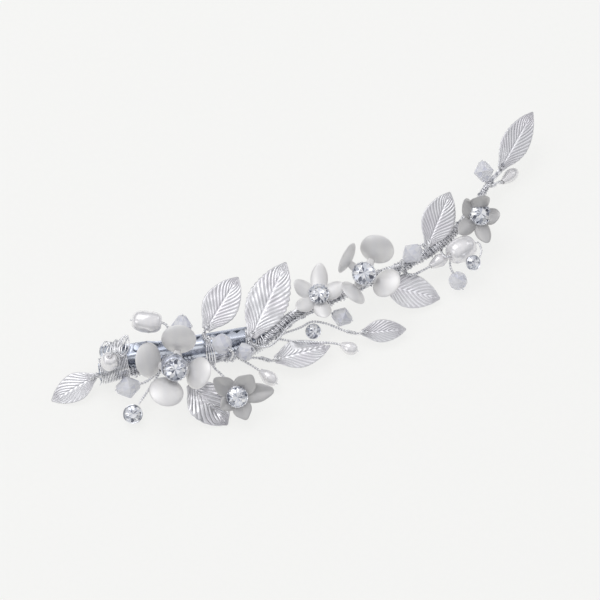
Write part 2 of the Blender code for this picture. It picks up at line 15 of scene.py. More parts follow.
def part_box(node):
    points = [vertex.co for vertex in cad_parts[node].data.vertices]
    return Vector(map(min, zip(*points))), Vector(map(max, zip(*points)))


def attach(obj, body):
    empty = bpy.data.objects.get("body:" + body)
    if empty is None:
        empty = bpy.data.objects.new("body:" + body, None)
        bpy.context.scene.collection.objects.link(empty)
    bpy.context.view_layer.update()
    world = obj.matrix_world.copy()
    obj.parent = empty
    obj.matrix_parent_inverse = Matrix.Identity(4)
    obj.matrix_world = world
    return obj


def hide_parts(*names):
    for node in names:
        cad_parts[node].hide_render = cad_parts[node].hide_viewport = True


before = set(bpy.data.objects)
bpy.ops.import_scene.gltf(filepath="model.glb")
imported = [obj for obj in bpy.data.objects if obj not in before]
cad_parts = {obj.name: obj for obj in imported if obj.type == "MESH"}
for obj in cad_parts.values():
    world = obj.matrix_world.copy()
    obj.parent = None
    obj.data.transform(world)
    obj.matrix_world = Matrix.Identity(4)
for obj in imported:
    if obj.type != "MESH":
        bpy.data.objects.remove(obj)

bl_info = {
    "name": "Bridal hair clip",
    "version": (1, 0, 0),
    "blender": (4, 5, 0),
    "location": "3D View > Sidebar > Hair clip",
    "description": "Builds the leaves, blossoms, beads, wires and sprung clip of a hair clip",
    "category": "Add Mesh",
}

MM = 0.001
PIN_LOW, PIN_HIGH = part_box("hinge_pin")
PIN_FOOT = Vector(((PIN_LOW.x + PIN_HIGH.x) / 2, (PIN_LOW.y + PIN_HIGH.y) / 2, 0.0))
CLIP_Z = (PIN_LOW.z + PIN_HIGH.z) / 2 / MM
ARMS = "decorated_arm"
SMOOTH_ARM = "smooth_arm"

# clip
FRONT_FACE = -2.2
TOOTH_PITCH = 2.7
FIRST_NOTCH = 5.4
SPRING_MEAN = 1.25
SPRING_TURNS = 4.5
SPRING_PITCH = 0.84
SPRING_WIRE = 0.25
SPRING_STEPS = 20

# stem path, from the thumb tab to the last leaf
STEM = [
    (-9.5, -4.7, 5.5), (-6.0, -4.2, 5.2), (0.0, -3.8, 4.0), (9.4, -3.75, 3.2), (20.0, -3.9, 3.2),
    (27.0, -3.9, 3.9), (31.2, -3.9, 5.8), (33.6, -3.7, 7.5), (36.4, -2.1, 8.0), (40.4, 1.1, 7.5),
    (44.9, 3.5, 7.2), (50.2, 5.1, 6.6), (56.7, 6.8, 6.2), (64.1, 9.2, 6.0), (70.1, 11.5, 6.0),
    (76.0, 12.9, 6.0), (82.9, 15.3, 6.0), (88.9, 18.6, 6.0), (94.1, 22.7, 6.0), (98.6, 26.8, 6.0),
    (102.0, 31.2, 6.0), (105.6, 35.0, 6.0), (108.3, 37.3, 6.0),
]
STEM_RADIUS = 1.2
STRAND_RADIUS = 0.23
CORE_RADIUS = 0.82
# stretches of the stem that fine wire is coiled on: from x, to x, coil pitch
STEM_COILS = [
    (-4.0, 16.6, 1.0), (21.6, 28.4, 0.9), (33.0, 43.8, 1.0), (45.0, 64.0, 1.1),
    (65.0, 72.0, 0.8), (72.4, 98.0, 0.9), (99.0, 105.5, 0.8),
]

# binding wire: points of the loose coil over the tab and in each of its laps, turns on the tab,
# (notch, spare reach) of the lashings further on, turns in each, and its lowest point
LOOSE_POINTS = 132
LAP_POINTS = 12
TAB_TURNS = 18
TAB_START = -10.6
TAB_STEP = 0.43
LASHINGS = ((5, 0.06), (9, 0.3), (10, 0.4))
LASHING_TURNS = 4
BINDING_LOW = 0.22

# leaves: name, base, tip, facing, half width, bend of the tip, side the wire enters,
# rib count, saw-edge depth, rolled edge, crumple
LEAVES = [
    ("leaf_1", (-12.1, -3.1, 4.0), (-24.6, -6.2, 0.3),
     (-0.1, -0.25, 1.0), 3.8, 0.0, 1, 9, 0.0, 0.0, 0.1),
    ("leaf_2", (18.9, 1.3, 10.6), (30.1, 13.6, 14.0),
     (0.1, -0.3, 1.0), 4.8, -0.8, -1, 12, 0.02, 0.0, 0.2),
    ("leaf_3", (30.3, -3.2, 10.2), (43.7, 15.9, 13.5),
     (0.1, -0.3, 1.0), 5.6, -1.0, -1, 14, 0.07, 0.0, 0.5),
    ("leaf_4", (35.8, -7.9, 4.2), (51.1, -6.9, 5.0),
     (0.0, -0.3, 1.0), 4.0, -0.9, -1, 10, 0.0, 1.0, 0.1),
    ("leaf_5", (60.4, -4.1, 3.6), (72.4, -5.0, 3.0),
     (0.0, -0.3, 1.0), 3.1, -0.5, -1, 9, 0.0, 0.0, 0.1),
    ("leaf_6", (12.2, -11.4, 6.0), (20.0, -22.8, 0.7),
     (0.1, -0.3, 1.0), 5.6, -0.5, 1, 8, 0.03, 0.0, 1.0),
    ("leaf_7", (69.4, 9.3, 3.6), (83.6, 3.1, 2.0),
     (0.0, -0.2, 1.0), 4.9, -0.5, 1, 11, 0.0, 0.0, 0.1),
    ("leaf_8", (83.1, 16.6, 8.0), (91.9, 28.9, 13.0),
     (0.2, -0.4, 1.0), 4.6, -0.6, 1, 13, 0.02, 0.0, 0.1),
    ("leaf_9", (108.2, 37.0, 7.2), (120.7, 51.6, 10.0),
     (0.3, -0.4, 1.0), 4.0, -0.5, -1, 13, 0.03, 0.0, 0.2),
]
LEAF_OUTLINE = [
    (0.0, 0.22), (0.1, 0.42), (0.22, 0.74), (0.38, 0.98), (0.55, 0.97), (0.72, 0.77), (0.87, 0.46),
    (1.0, 0.03),
]
HOLE_FROM_BASE = 1.3
LEAF_HOLE = 0.5
LEAF_ROWS = 120
LEAF_COLUMNS = 45

# flowers: name, hub, facing, stone radius, post length, petals.
# A disc petal is (DISC, angle, centre distance, radius, rise, twist) and a pointed one is
# (POINTED, angle, reach, half width, rise, fold), where the fold may be left out.
# Angles, `rise` and `twist` are in degrees.
DISC = "disc"
POINTED = "pointed"
FLOWERS = [
    ("flower_1", (8.6, -9.2, 10.0), (0.0, -0.35, 0.94), 2.7, 7.0, [
        (DISC, 84, 8.3, 4.8, 50, 0), (DISC, 160, 7.6, 4.8, 46, 10), (DISC, 248, 6.2, 4.8, 32, 0),
        (DISC, 353, 6.2, 4.5, 48, 0)]),
    ("flower_2", (50.5, 6.0, 9.0), (0.05, -0.12, 0.99), 2.4, 1.0, [
        (POINTED, 88, 8.6, 2.4, 12), (POINTED, 157, 7.3, 2.4, 20), (POINTED, 217, 7.5, 2.2, 12),
        (POINTED, 285, 7.0, 2.4, 12), (POINTED, 20, 7.0, 2.4, 24)]),
    ("flower_3", (63.5, 9.2, 10.7), (0.0, -0.3, 0.95), 2.8, 3.0, [
        (DISC, 62, 7.7, 4.8, 55, 10), (DISC, 138, 6.3, 4.6, 78, 12), (DISC, 241, 6.0, 4.1, 54, -19),
        (DISC, 339, 6.6, 4.3, 40, 0)]),
    ("flower_4", (98.2, 22.4, 9.0), (0.2, -0.35, 0.9), 2.7, 2.9, [
        (POINTED, 98, 5.0, 3.0, 56), (POINTED, 160, 6.8, 2.5, 40), (POINTED, 224, 8.2, 2.3, 10),
        (POINTED, 286, 7.8, 2.3, 6), (POINTED, 352, 5.2, 2.4, 46)]),
    ("flower_5", (23.6, -17.5, 5.9), (-0.05, -0.6, 0.8), 2.5, 2.8, [
        (POINTED, 10, 9.0, 2.7, 8, 0.5), (POINTED, 58, 7.0, 3.0, 28, 0.4),
        (POINTED, 140, 7.6, 2.7, 22, 0.5), (POINTED, 215, 5.2, 2.3, 30, 0.4),
        (POINTED, 292, 6.2, 2.6, 10, 0.5)]),
]
# Flowers 4 and 5 take a darker copy of the petal lacquer: painted shade.
SHADE_PAINTED_FLOWERS = ("flower_4", "flower_5")
COLLARED_FLOWER = "flower_1"

# drilled beads: name, kind, centre, bore direction, length, radius
PEARL = "pearl"
TEARDROP = "teardrop"
BICONE = "bicone"
ROUND = "round"
BEADS = [
    ("pearl_1", PEARL, (3.8, 5.5, 12.9), (0.96, -0.26, -0.08), 7.8, 3.0),
    ("crystal_1", BICONE, (12.7, 2.4, 12.8), (0.2, 0.75, 0.62), 5.6, 2.9),
    ("pearl_2", PEARL, (-8.1, -4.05, 12.1), (0.15, 0.1, 0.98), 4.6, 2.3),
    ("crystal_2", BICONE, (-4.2, -8.9, 5.3), (0.98, 0.1, -0.05), 6.2, 3.1),
    ("crystal_3", ROUND, (22.2, -4.7, 12.0), (0.55, -0.8, 0.2), 5.0, 2.7),
    ("crystal_4", BICONE, (28.1, -6.3, 8.5), (0.75, -0.2, 0.6), 5.0, 2.6),
    ("teardrop_1", TEARDROP, (33.1, -12.1, 3.0), (0.66, -0.72, -0.15), 5.4, 1.9),
    ("crystal_5", BICONE, (56.1, 1.5, 4.0), (0.86, -0.4, -0.3), 5.4, 2.8),
    ("teardrop_2", TEARDROP, (56.2, -7.3, 2.3), (0.85, -0.5, -0.1), 4.6, 1.8),
    ("crystal_6", BICONE, (78.0, 13.5, 10.4), (0.8, 0.35, 0.5), 5.6, 2.9),
    ("long_pearl", TEARDROP, (85.1, 12.4, 5.6), (0.92, 0.39, 0.02), 5.2, 1.8),
    ("pearl_3", PEARL, (91.7, 13.6, 7.6), (0.9, 0.4, -0.15), 8.0, 3.4),
    ("crystal_7", ROUND, (89.5, 7.1, 2.6), (0.36, -0.81, -0.46), 4.8, 2.6),
    ("crystal_8", BICONE, (103.2, 36.2, 8.6), (0.0, 0.87, 0.45), 5.6, 2.8),
    ("pearl_4", TEARDROP, (110.9, 36.9, 2.6), (0.78, 0.58, -0.2), 6.2, 1.8),
]
BORE = 0.5
# outlines as (share of radius, share of half length), with a shift in steps for facet rows
PEARL_OUTLINES = {
    TEARDROP: [
        (0.36, 1.0), (0.62, 0.93), (0.88, 0.6), (1.0, 0.12), (0.84, -0.35), (0.58, -0.75),
        (0.42, -1.0)],
    PEARL: [
        (0.24, 0.97), (0.5, 1.0), (0.8, 0.8), (0.97, 0.34), (1.0, 0.0), (0.97, -0.34),
        (0.8, -0.8), (0.5, -1.0), (0.24, -0.97)],
}
CRYSTAL_RINGS = {
    BICONE: [
        (0.34, 1.0, 0.0), (0.68, 0.52, 0.5), (1.0, 0.04, 0.0), (1.0, -0.04, 0.0),
        (0.68, -0.52, 0.5), (0.34, -1.0, 0.0)],
    ROUND: [
        (0.4, 1.0, 0.0), (0.74, 0.74, 0.5), (0.97, 0.3, 0.0), (0.97, -0.3, 0.5),
        (0.74, -0.74, 0.0), (0.4, -1.0, 0.5)],
}
PEARL_STEPS = 44
CRYSTAL_SIDES = 10
STONE_SIDES = 24

# stage, in metres: the room's greys, and each softbox's name, place, size and setting
PAPER = (0.90, 0.90, 0.885)
WALLS = (0.16, 0.17, 0.19, 1.0)
CEILING = (0.80, 0.80, 0.82, 1.0)
SOFTBOXES = [
    ("key_softbox", (-0.25, 0.35, 0.80), 0.7, "key", 1.0),
    ("left_softbox", (-0.75, -0.25, 0.45), 0.45, "fill", 1.0),
    ("right_softbox", (0.7, 0.25, 0.5), 0.4, "fill", 0.6),
]
FLOOR_REACH = 3.0
CAMERA_TARGET = (45.974, 8.371, CLIP_Z)
TOWARDS_CAMERA = Vector((-0.0997, -0.4900, 0.8660))
CAMERA_DISTANCE = 0.9

# rhinestone drops: name, centre, facing, radius; and their cup as (share of radius, height)
DROPS = [
    ("drop_1", (-4.2, -15.9, 3.0), (-0.1, -0.5, 0.86), 2.6),
    ("drop_2", (47.6, -1.3, 4.0), (0.0, -0.5, 0.86), 2.1),
    ("drop_3", (93.7, 8.4, 8.6), (0.3, -0.5, 0.8), 2.1),
]
DROP_CUP = [
    (0.0, -0.55), (0.5, -0.5), (0.78, 0.25), (0.84, 0.62), (0.93, 0.72), (1.0, 0.6),
    (1.0, -0.1), (0.92, -0.45), (0.6, -0.95), (0.3, -1.0), (0.0, -1.0),
]

# formed wires: each item is a point, (LEAF, name, outwards) or (BEAD, name, overrun, outwards)
LEAF = "leaf"
BEAD = "bead"
SPRIGS = {
    "sprig_wire_a": [
        (LEAF, "leaf_1", False), (-11.8, -4.0, 5.7), (-9.4, -5.4, 7.1),
        (-8.6, -4.7, 7.5), (BEAD, "pearl_2", 0.5, True), (-7.0, -3.0, 14.7), (-5.6, -3.0, 12.6),
        (-5.4, -3.6, 10.0)],
    "sprig_wire_b": [
        (BEAD, "crystal_2", 0.5, True), (2.4, -7.3, 4.9), (4.6, -5.25, 4.0), (4.2, -6.4, 4.0),
        (0.6, -10.6, 3.8), (-2.3, -13.6, 3.3)],
    "sprig_wire_c": [
        (BEAD, "pearl_1", 0.6, True), (8.9, 0.6, 11.6), (9.8, -2.8, 9.9), (10.0, -2.8, 5.0),
        (11.0, -2.8, 5.0), (11.2, -2.8, 10.0), (11.9, -0.6, 10.7), (BEAD, "crystal_1", 0.5, True)],
    "sprig_wire_d": [
        (LEAF, "leaf_6", False), (17.0, -6.6, 5.6), (19.0, -5.3, 4.0), (19.5, -6.8, 3.6),
        (21.8, -10.5, 3.4), (23.8, -15.2, 3.2), (23.7, -16.1, 4.1)],
    "sprig_wire_e": [
        (LEAF, "leaf_2", False), (18.6, -1.6, 10.4), (BEAD, "crystal_3", 0.4, True),
        (24.6, -7.4, 10.8), (24.2, -6.1, 6.0), (24.1, -5.5, 4.3), (24.9, -6.4, 5.4),
        (BEAD, "crystal_4", 0.5, True)],
    "sprig_wire_f": [
        (LEAF, "leaf_3", False), (31.4, -5.6, 9.3), (34.6, -6.0, 8.6), (37.8, -3.9, 8.2),
        (41.4, -0.4, 8.0), (45.6, 1.9, 7.3), (50.4, 3.4, 6.2), (BEAD, "crystal_5", 0.5, True)],
    "sprig_wire_g": [
        (BEAD, "teardrop_1", 0.5, False), (28.0, -6.9, 4.0), (27.0, -5.45, 3.9), (28.2, -6.2, 4.8),
        (32.0, -7.0, 4.8), (LEAF, "leaf_4", True)],
    "sprig_wire_h": [
        (LEAF, "leaf_5", False), (56.1, -2.6, 3.4), (51.5, 0.1, 4.4), (47.8, 1.3, 4.6),
        (44.4, 0.0, 4.9), (37.6, -2.3, 6.4), (38.6, -3.2, 6.0), (43.0, -4.0, 4.6),
        (50.0, -4.9, 3.2), (BEAD, "teardrop_2", 0.5, True)],
    "sprig_wire_i": [
        (LEAF, "leaf_7", False), (73.2, 10.7, 5.6), (75.0, 11.2, 7.4),
        (BEAD, "crystal_6", 0.5, True), (LEAF, "leaf_8", True)],
    "sprig_wire_j": [
        (BEAD, "crystal_7", 0.5, False), (88.2, 11.2, 4.6), (BEAD, "long_pearl", 0.8, False),
        (77.5, 10.0, 5.0), (75.6, 11.4, 4.7), (77.5, 13.1, 4.3), (82.9, 15.2, 4.3),
        (86.4, 16.8, 4.3), (BEAD, "pearl_3", 0.6, True), (97.2, 13.0, 7.2), (95.9, 9.7, 8.4)],
    "sprig_wire_k": [
        (BEAD, "crystal_8", 0.5, False), (103.9, 32.6, 7.0), (105.3, 33.0, 5.8), (107.6, 34.8, 4.2),
        (BEAD, "pearl_4", 0.5, True)],
}


# ---------------------------------------------------------------- sizes and colours a user changes

class HairClipWires(bpy.types.PropertyGroup):
    """Wire sizes."""

    fine: bpy.props.FloatProperty(
        name="Fine wire radius", description="Radius of the coiled and binding wire",
        default=0.15 * MM, unit="LENGTH")
    sprig: bpy.props.FloatProperty(
        name="Sprig wire radius", description="Radius of each wire of a twisted pair",
        default=0.2 * MM, unit="LENGTH")
    twist: bpy.props.FloatProperty(
        name="Twist length", description="Length of one full turn of a twisted pair",
        default=1.5 * MM, unit="LENGTH")
    stem_twist: bpy.props.FloatProperty(
        name="Stem twist length", description="Length of one full turn of the stem's strands",
        default=13.0 * MM, unit="LENGTH")
    unevenness: bpy.props.FloatProperty(
        name="Unevenness", description="How far hand-wound turns wander", default=0.7,
        subtype="FACTOR", min=0.0, max=2.0)


class HairClipLeaves(bpy.types.PropertyGroup):
    """Leaf sizes."""

    sheet: bpy.props.FloatProperty(
        name="Sheet", description="Thickness of the leaf's metal", default=0.26 * MM, unit="LENGTH")
    rib: bpy.props.FloatProperty(
        name="Rib height", description="Height of the side ribs", default=0.17 * MM, unit="LENGTH")
    midrib: bpy.props.FloatProperty(
        name="Midrib height", description="Height of the rib along the middle",
        default=0.18 * MM, unit="LENGTH")
    slant: bpy.props.FloatProperty(
        name="Slant", description="How far the side ribs run towards the tip, in ribs", default=4.4)


class HairClipFlowers(bpy.types.PropertyGroup):
    """Blossom, setting and stone sizes."""

    sheet: bpy.props.FloatProperty(
        name="Petal sheet", description="Thickness of the lacquered petals",
        default=0.5 * MM, unit="LENGTH")
    dome: bpy.props.FloatProperty(
        name="Petal dome", description="How far a petal bulges, as a share of its radius",
        default=0.26, subtype="FACTOR")
    rim_beads: bpy.props.IntProperty(
        name="Rim beads", description="Number of grains round each setting", default=18, min=6)
    enamel: bpy.props.FloatVectorProperty(
        name="Lacquer", description="Colour of the petals", subtype="COLOR", size=3,
        default=(0.87, 0.86, 0.85), min=0.0, max=1.0)


class HairClipBeads(bpy.types.PropertyGroup):
    """Bead colours and unevenness."""

    nacre: bpy.props.FloatVectorProperty(
        name="Nacre", description="Colour of the pearls", subtype="COLOR", size=3,
        default=(0.94, 0.93, 0.935), min=0.0, max=1.0)
    crystal: bpy.props.FloatVectorProperty(
        name="Crystal", description="Colour of the cut beads", subtype="COLOR", size=3,
        default=(0.93, 0.935, 0.985), min=0.0, max=1.0)
    wobble: bpy.props.FloatProperty(
        name="Wobble", description="Unevenness of a grown pearl", default=0.16 * MM, unit="LENGTH")


class HairClipStage(bpy.types.PropertyGroup):
    """Floor and light."""

    floor: bpy.props.FloatVectorProperty(
        name="Floor", description="Colour of the floor", subtype="COLOR", size=3,
        default=PAPER, min=0.0, max=1.0)
    key: bpy.props.FloatProperty(
        name="Key light", description="Power of the main softbox", default=1.9, unit="POWER")
    fill: bpy.props.FloatProperty(
        name="Fill light", description="Power of the two side softboxes", default=0.7, unit="POWER")


# ---------------------------------------------------------------- places, frames and paths

def place(point):
    """Design millimetres to the frame's metres."""
    return PIN_FOOT + Vector(point) * MM


def turned(normal, along):
    """Rotation whose Z is the normal and whose X lies as near to `along` as it can."""
    z = Vector(normal).normalized()
    x = Vector(along)
    x = (x - z * x.dot(z)).normalized()
    return Matrix((x, z.cross(x), z)).transposed()


def seat(centre, facing, along=(0.98, -0.2, 0.0)):
    """Matrix from a part's own millimetres to the frame's metres."""
    rotation = turned(facing, along).to_4x4()
    return Matrix.Translation(place(centre)) @ rotation @ Matrix.Scale(MM, 4)


def across_bore(axis):
    """A direction that isn't along the bore."""
    return (1.0, 0.0, 0.0) if abs(Vector(axis).normalized().x) < 0.8 else (0.0, 0.0, 1.0)


def smooth_path(points, per_span):
    """Catmull-Rom points through the given ones."""
    knots = [Vector(p) for p in points]
    result = []
    for index in range(len(knots) - 1):
        before = knots[max(index - 1, 0)]
        start = knots[index]
        end = knots[index + 1]
        after = knots[min(index + 2, len(knots) - 1)]
        for step in range(per_span):
            t = step / per_span
            point = 2.0 * start + (end - before) * t
            point = point + (2.0 * before - 5.0 * start + 4.0 * end - after) * t * t
            point = point + (3.0 * start - before - 3.0 * end + after) * t ** 3
            result.append(point * 0.5)
    result.append(knots[-1])
    return result


def ease(low, high, value):
    """0 below `low`, 1 above `high`, smooth between them."""
    t = min(max((value - low) / (high - low), 0.0), 1.0)
    return t * t * (3.0 - 2.0 * t)


def lookup(table, at):
    """Smooth value between the (place, value) pairs of a table."""
    points = smooth_path([(a, b, 0.0) for a, b in table], 8)
    for start, end in zip(points, points[1:]):
        if at <= end.x:
            share = (at - start.x) / max(end.x - start.x, 1e-9)
            return start.y + (end.y - start.y) * max(share, 0.0)
    return points[-1].y


# ---------------------------------------------------------------- meshes

def new_object(name, data):
    """Object linked to the scene at the origin."""
    obj = bpy.data.objects.new(name, data)
    bpy.context.scene.collection.objects.link(obj)
    return obj


def sheet_faces(rows, columns, ring=False):
    """Quads between neighbouring rows; each row closes on itself when `ring` is set."""
    faces = []
    for i in range(rows - 1):
        for j in range(columns if ring else columns - 1):
            k = (j + 1) % columns
            here, above = i * columns, (i + 1) * columns
            faces.append((here + j, here + k, above + k, above + j))
    return faces


def circle(count, reach, height, shift=0.0):
    """Points round the Z axis at one height, begun `shift` steps on."""
    angles = [math.tau * (k + shift) / count for k in range(count)]
    return [(reach * math.cos(angle), reach * math.sin(angle), height) for angle in angles]


def plain_mesh(name, verts, faces, matrix=None, smooth=True):
    """Mesh from vertices and faces, moved by the matrix."""
    mesh = bpy.data.meshes.new(name)
    mesh.from_pydata([Vector(v) for v in verts], [], faces)
    if matrix is not None:
        mesh.transform(matrix)
    for polygon in mesh.polygons:
        polygon.use_smooth = smooth
    mesh.update()
    return mesh


@contextlib.contextmanager
def editing(mesh):
    """Mesh opened for editing and written back."""
    shape = bmesh.new()
    shape.from_mesh(mesh)
    yield shape
    shape.to_mesh(mesh)
    shape.free()


def joined(name, meshes):
    """One mesh that holds all the given ones."""
    result = bpy.data.meshes.new(name)
    with editing(result) as shape:
        for mesh in meshes:
            shape.from_mesh(mesh)
            bpy.data.meshes.remove(mesh)
    return result


def baked(obj):
    """Plain mesh of an object with its modifiers worked in; the object goes."""
    bpy.context.view_layer.update()
    graph = bpy.context.evaluated_depsgraph_get()
    mesh = bpy.data.meshes.new_from_object(obj.evaluated_get(graph))
    bpy.data.objects.remove(obj)
    return mesh


def outward(mesh, sharp=None):
    """Merge doubles, point the faces outwards and mark the edges sharper than an angle."""
    with editing(mesh) as shape:
        bmesh.ops.remove_doubles(shape, verts=shape.verts, dist=0.002 * MM)
        bmesh.ops.dissolve_degenerate(shape, edges=shape.edges, dist=0.001 * MM)
        bmesh.ops.recalc_face_normals(shape, faces=shape.faces)
    if sharp:
        mesh.set_sharp_from_angle(angle=math.radians(sharp))
    return mesh


def turned_mesh(name, profile, matrix):
    """Turn (radius, height) pairs about Z, closed by the poles at radius 0."""
    steps = 40
    verts = [v for reach, height in profile for v in circle(steps, reach, height)]
    return outward(plain_mesh(name, verts, sheet_faces(len(profile), steps, True), matrix), 50.0)


def cut_mesh(name, verts, faces, matrix, seed):
    """Flat-faced cut body with a random value on each facet, which picks the facet's painted
    reflection.
    """
    mesh = outward(plain_mesh(name, verts, faces, matrix, False))
    for polygon in mesh.polygons:
        polygon.use_smooth = False
    draw = random.Random(seed)
    attribute = mesh.attributes.new("facet", "FLOAT", "FACE")
    attribute.data.foreach_set("value", [draw.random() for _ in mesh.polygons])
    return mesh


def finish_piece(name, mesh, material, node, body=ARMS):
    """Named piece at the origin that stands for its CAD node."""
    mesh.materials.clear()
    mesh.materials.append(material)
    mesh.name = name
    obj = new_object(name, mesh)
    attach(obj, body)
    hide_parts(node)


# ---------------------------------------------------------------- geometry node trees

class Nodes:
    """A node tree being built."""

    def __init__(self, tree):
        self.tree = tree

    def node(self, kind, links=None, **settings):
        """New node with its settings made and its inputs linked or set."""
        node = self.tree.nodes.new(kind)
        for key, value in settings.items():
            setattr(node, key, value)
        for key, value in (links or {}).items():
            if isinstance(value, bpy.types.NodeSocket):
                self.tree.links.new(value, node.inputs[key])
            else:
                node.inputs[key].default_value = value
        return node

    def get(self, kind, links=None, **settings):
        """First output of a new node."""
        return self.node(kind, links, **settings).outputs[0]

    def math(self, operation, first, second=0.0, third=0.0):
        """Result of one math operation on sockets or numbers."""
        return self.get("ShaderNodeMath", {0: first, 1: second, 2: third}, operation=operation)

    def product(self, first, *others):
        """Sockets and numbers multiplied together."""
        for other in others:
            first = self.math("MULTIPLY", first, other)
        return first

    def sockets(self, direction, kinds):
        """Named sockets on the tree's own inputs or outputs."""
        for kind, labels in kinds.items():
            for label in labels:
                self.tree.interface.new_socket(
                    label, in_out=direction, socket_type="NodeSocket" + kind)


class Tree(Nodes):
    """A geometry node tree with named inputs."""

    def __init__(self, name, sizes, counts=()):
        super().__init__(bpy.data.node_groups.new(name, "GeometryNodeTree"))
        self.sockets("INPUT", {
            "Geometry": ["Geometry"], "Float": sizes, "Int": counts, "Material": ["Material"]})
        self.sockets("OUTPUT", {"Geometry": ["Geometry"]})
        self.given = self.node("NodeGroupInput").outputs

    def vector(self, operation, first, second):
        """Result of a vector operation; SCALE takes a number second."""
        second_input = "Scale" if operation == "SCALE" else 1
        return self.get(
            "ShaderNodeVectorMath", {0: first, second_input: second}, operation=operation)

    def end(self, geometry):
        """Realize instances, set the material and put the result out."""
        real = self.get("GeometryNodeRealizeInstances", {"Geometry": geometry})
        painted = self.get("GeometryNodeSetMaterial", {
            "Geometry": real, "Material": self.given["Material"]})
        self.node("NodeGroupOutput", {0: painted})
        return self.tree


def strand_tree(name, strands, core):
    """Strands laid as a helix along every spline; a spline's radius widens or narrows the lay."""
    sizes = ["Lay radius", "Lay length", "Wire radius", "Step", "Wander", "Core radius"]
    tree = Tree(name, sizes, ["Sides"])
    given = tree.given
    path = tree.get("GeometryNodeResampleCurve", {
        "Curve": given["Geometry"], "Length": given["Step"]}, mode="LENGTH")
    spline = tree.node("GeometryNodeSplineParameter")
    normal = tree.node("GeometryNodeInputNormal").outputs["Normal"]
    side = tree.vector("CROSS_PRODUCT", tree.get("GeometryNodeInputTangent"), normal)
    width = tree.get("GeometryNodeInputRadius")
    lay = tree.product(given["Lay radius"], width)
    turns = tree.math("DIVIDE", spline.outputs["Length"], given["Lay length"])
    uneven = tree.get("ShaderNodeTexNoise", {"Scale": 900.0, "Detail": 1.0})
    drift = tree.product(tree.math("SUBTRACT", uneven, 0.5), given["Wander"])
    profile = tree.get("GeometryNodeCurvePrimitiveCircle", {
        "Resolution": given["Sides"], "Radius": given["Wire radius"]})
    gather = tree.node("GeometryNodeJoinGeometry")
    for strand in range(strands):
        phase = math.tau * strand / strands
        angle = tree.math("ADD", tree.math("MULTIPLY_ADD", turns, math.tau, phase), drift)
        first = tree.vector("SCALE", normal, tree.product(tree.math("COSINE", angle), lay))
        second = tree.vector("SCALE", side, tree.product(tree.math("SINE", angle), lay))
        strand_path = path
        if core and strand % 2:
            strand_path = tree.get("GeometryNodeTrimCurve", {
                "Curve": path, "End": 0.8 + 0.016 * strand}, mode="FACTOR")
        moved = tree.get("GeometryNodeSetPosition", {
            "Geometry": strand_path, "Offset": tree.vector("ADD", first, second)})
        wire = tree.get("GeometryNodeCurveToMesh", {
            "Curve": moved, "Profile Curve": profile, "Fill Caps": True})
        tree.tree.links.new(wire, gather.inputs[0])
    if core:
        round_core = tree.get("GeometryNodeCurvePrimitiveCircle", {
            "Resolution": 12, "Radius": given["Core radius"]})
        middle = tree.get("GeometryNodeCurveToMesh", {
            "Curve": path, "Profile Curve": round_core, "Scale": width, "Fill Caps": True})
        tree.tree.links.new(middle, gather.inputs[0])
    return tree.end(gather.outputs[0])


def emboss_tree():
    """Ribs slanting from a midrib, pressed into a sheet that carries its `along` and `across`."""
    tree = Tree("pressed_leaf", ["Ribs", "Slant", "Rib height", "Midrib height"])
    given = tree.given
    along, across = (
        tree.get("GeometryNodeInputNamedAttribute", {"Name": name}, data_type="FLOAT")
        for name in ("along", "across"))
    side = tree.math("ABSOLUTE", across)
    lean = tree.product(tree.math("POWER", side, 0.85), given["Slant"])
    phase = tree.math("SUBTRACT", tree.product(along, given["Ribs"]), lean)
    ridge = tree.product(tree.math("PINGPONG", tree.math("ADD", phase, 40.0), 0.5), 2.0)
    inner = tree.math("SUBTRACT", 1.0, tree.math("POWER", side, 10.0))
    outer = tree.math("MINIMUM", tree.product(tree.math("SUBTRACT", 1.0, along), 9.0), 1.0)
    base = tree.math("MINIMUM", tree.product(along, 7.0), 1.0)
    relief = tree.product(tree.math("POWER", ridge, 1.5), tree.product(inner, outer, base))
    gap = tree.math("MAXIMUM", tree.math("SUBTRACT", 1.0, tree.product(side, 13.0)), 0.0)
    middle = tree.math("POWER", gap, 0.7)
    rim = tree.math("POWER", side, 24.0)
    height = tree.product(relief, given["Rib height"])
    height = tree.math("MULTIPLY_ADD", middle, given["Midrib height"], height)
    height = tree.math("MULTIPLY_ADD", rim, tree.product(given["Rib height"], 0.8), height)
    normal = tree.node("GeometryNodeInputNormal").outputs["Normal"]
    # The stored relief also masks the painted shade in the leaf plate's valleys.
    kept = tree.get("GeometryNodeStoreNamedAttribute", {
        "Geometry": given["Geometry"], "Name": "relief",
        "Value": tree.math("MAXIMUM", tree.math("MAXIMUM", relief, middle), rim)},
        data_type="FLOAT", domain="POINT")
    return tree.end(tree.get("GeometryNodeSetPosition", {
        "Geometry": kept, "Offset": tree.vector("SCALE", normal, height)}))


def grain_tree():
    """Small grains of metal on a circle, each a little taller than it is wide."""
    tree = Tree("rim_grains", ["Ring radius", "Height", "Grain radius"], ["Count"])
    given = tree.given
    ring = tree.get("GeometryNodeMeshCircle", {
        "Vertices": given["Count"], "Radius": given["Ring radius"]})
    lift = tree.get("ShaderNodeCombineXYZ", {"Z": given["Height"]})
    raised = tree.get("GeometryNodeSetPosition", {"Geometry": ring, "Offset": lift})
    grain = tree.get("GeometryNodeMeshIcoSphere", {
        "Radius": given["Grain radius"], "Subdivisions": 2})
    soft = tree.get("GeometryNodeSetShadeSmooth", {"Geometry": grain})
    return tree.end(tree.get("GeometryNodeInstanceOnPoints", {
        "Points": raised, "Instance": soft, "Scale": (1.0, 1.0, 1.45)}))


def with_tree(obj, tree, values):
    """Put a node tree on an object, with its inputs set by identifier."""
    modifier = obj.modifiers.new(tree.name, "NODES")
    modifier.node_group = tree
    for item in tree.interface.items_tree:
        if item.in_out == "INPUT" and item.name in values:
            modifier[item.identifier] = values[item.name]
    return obj


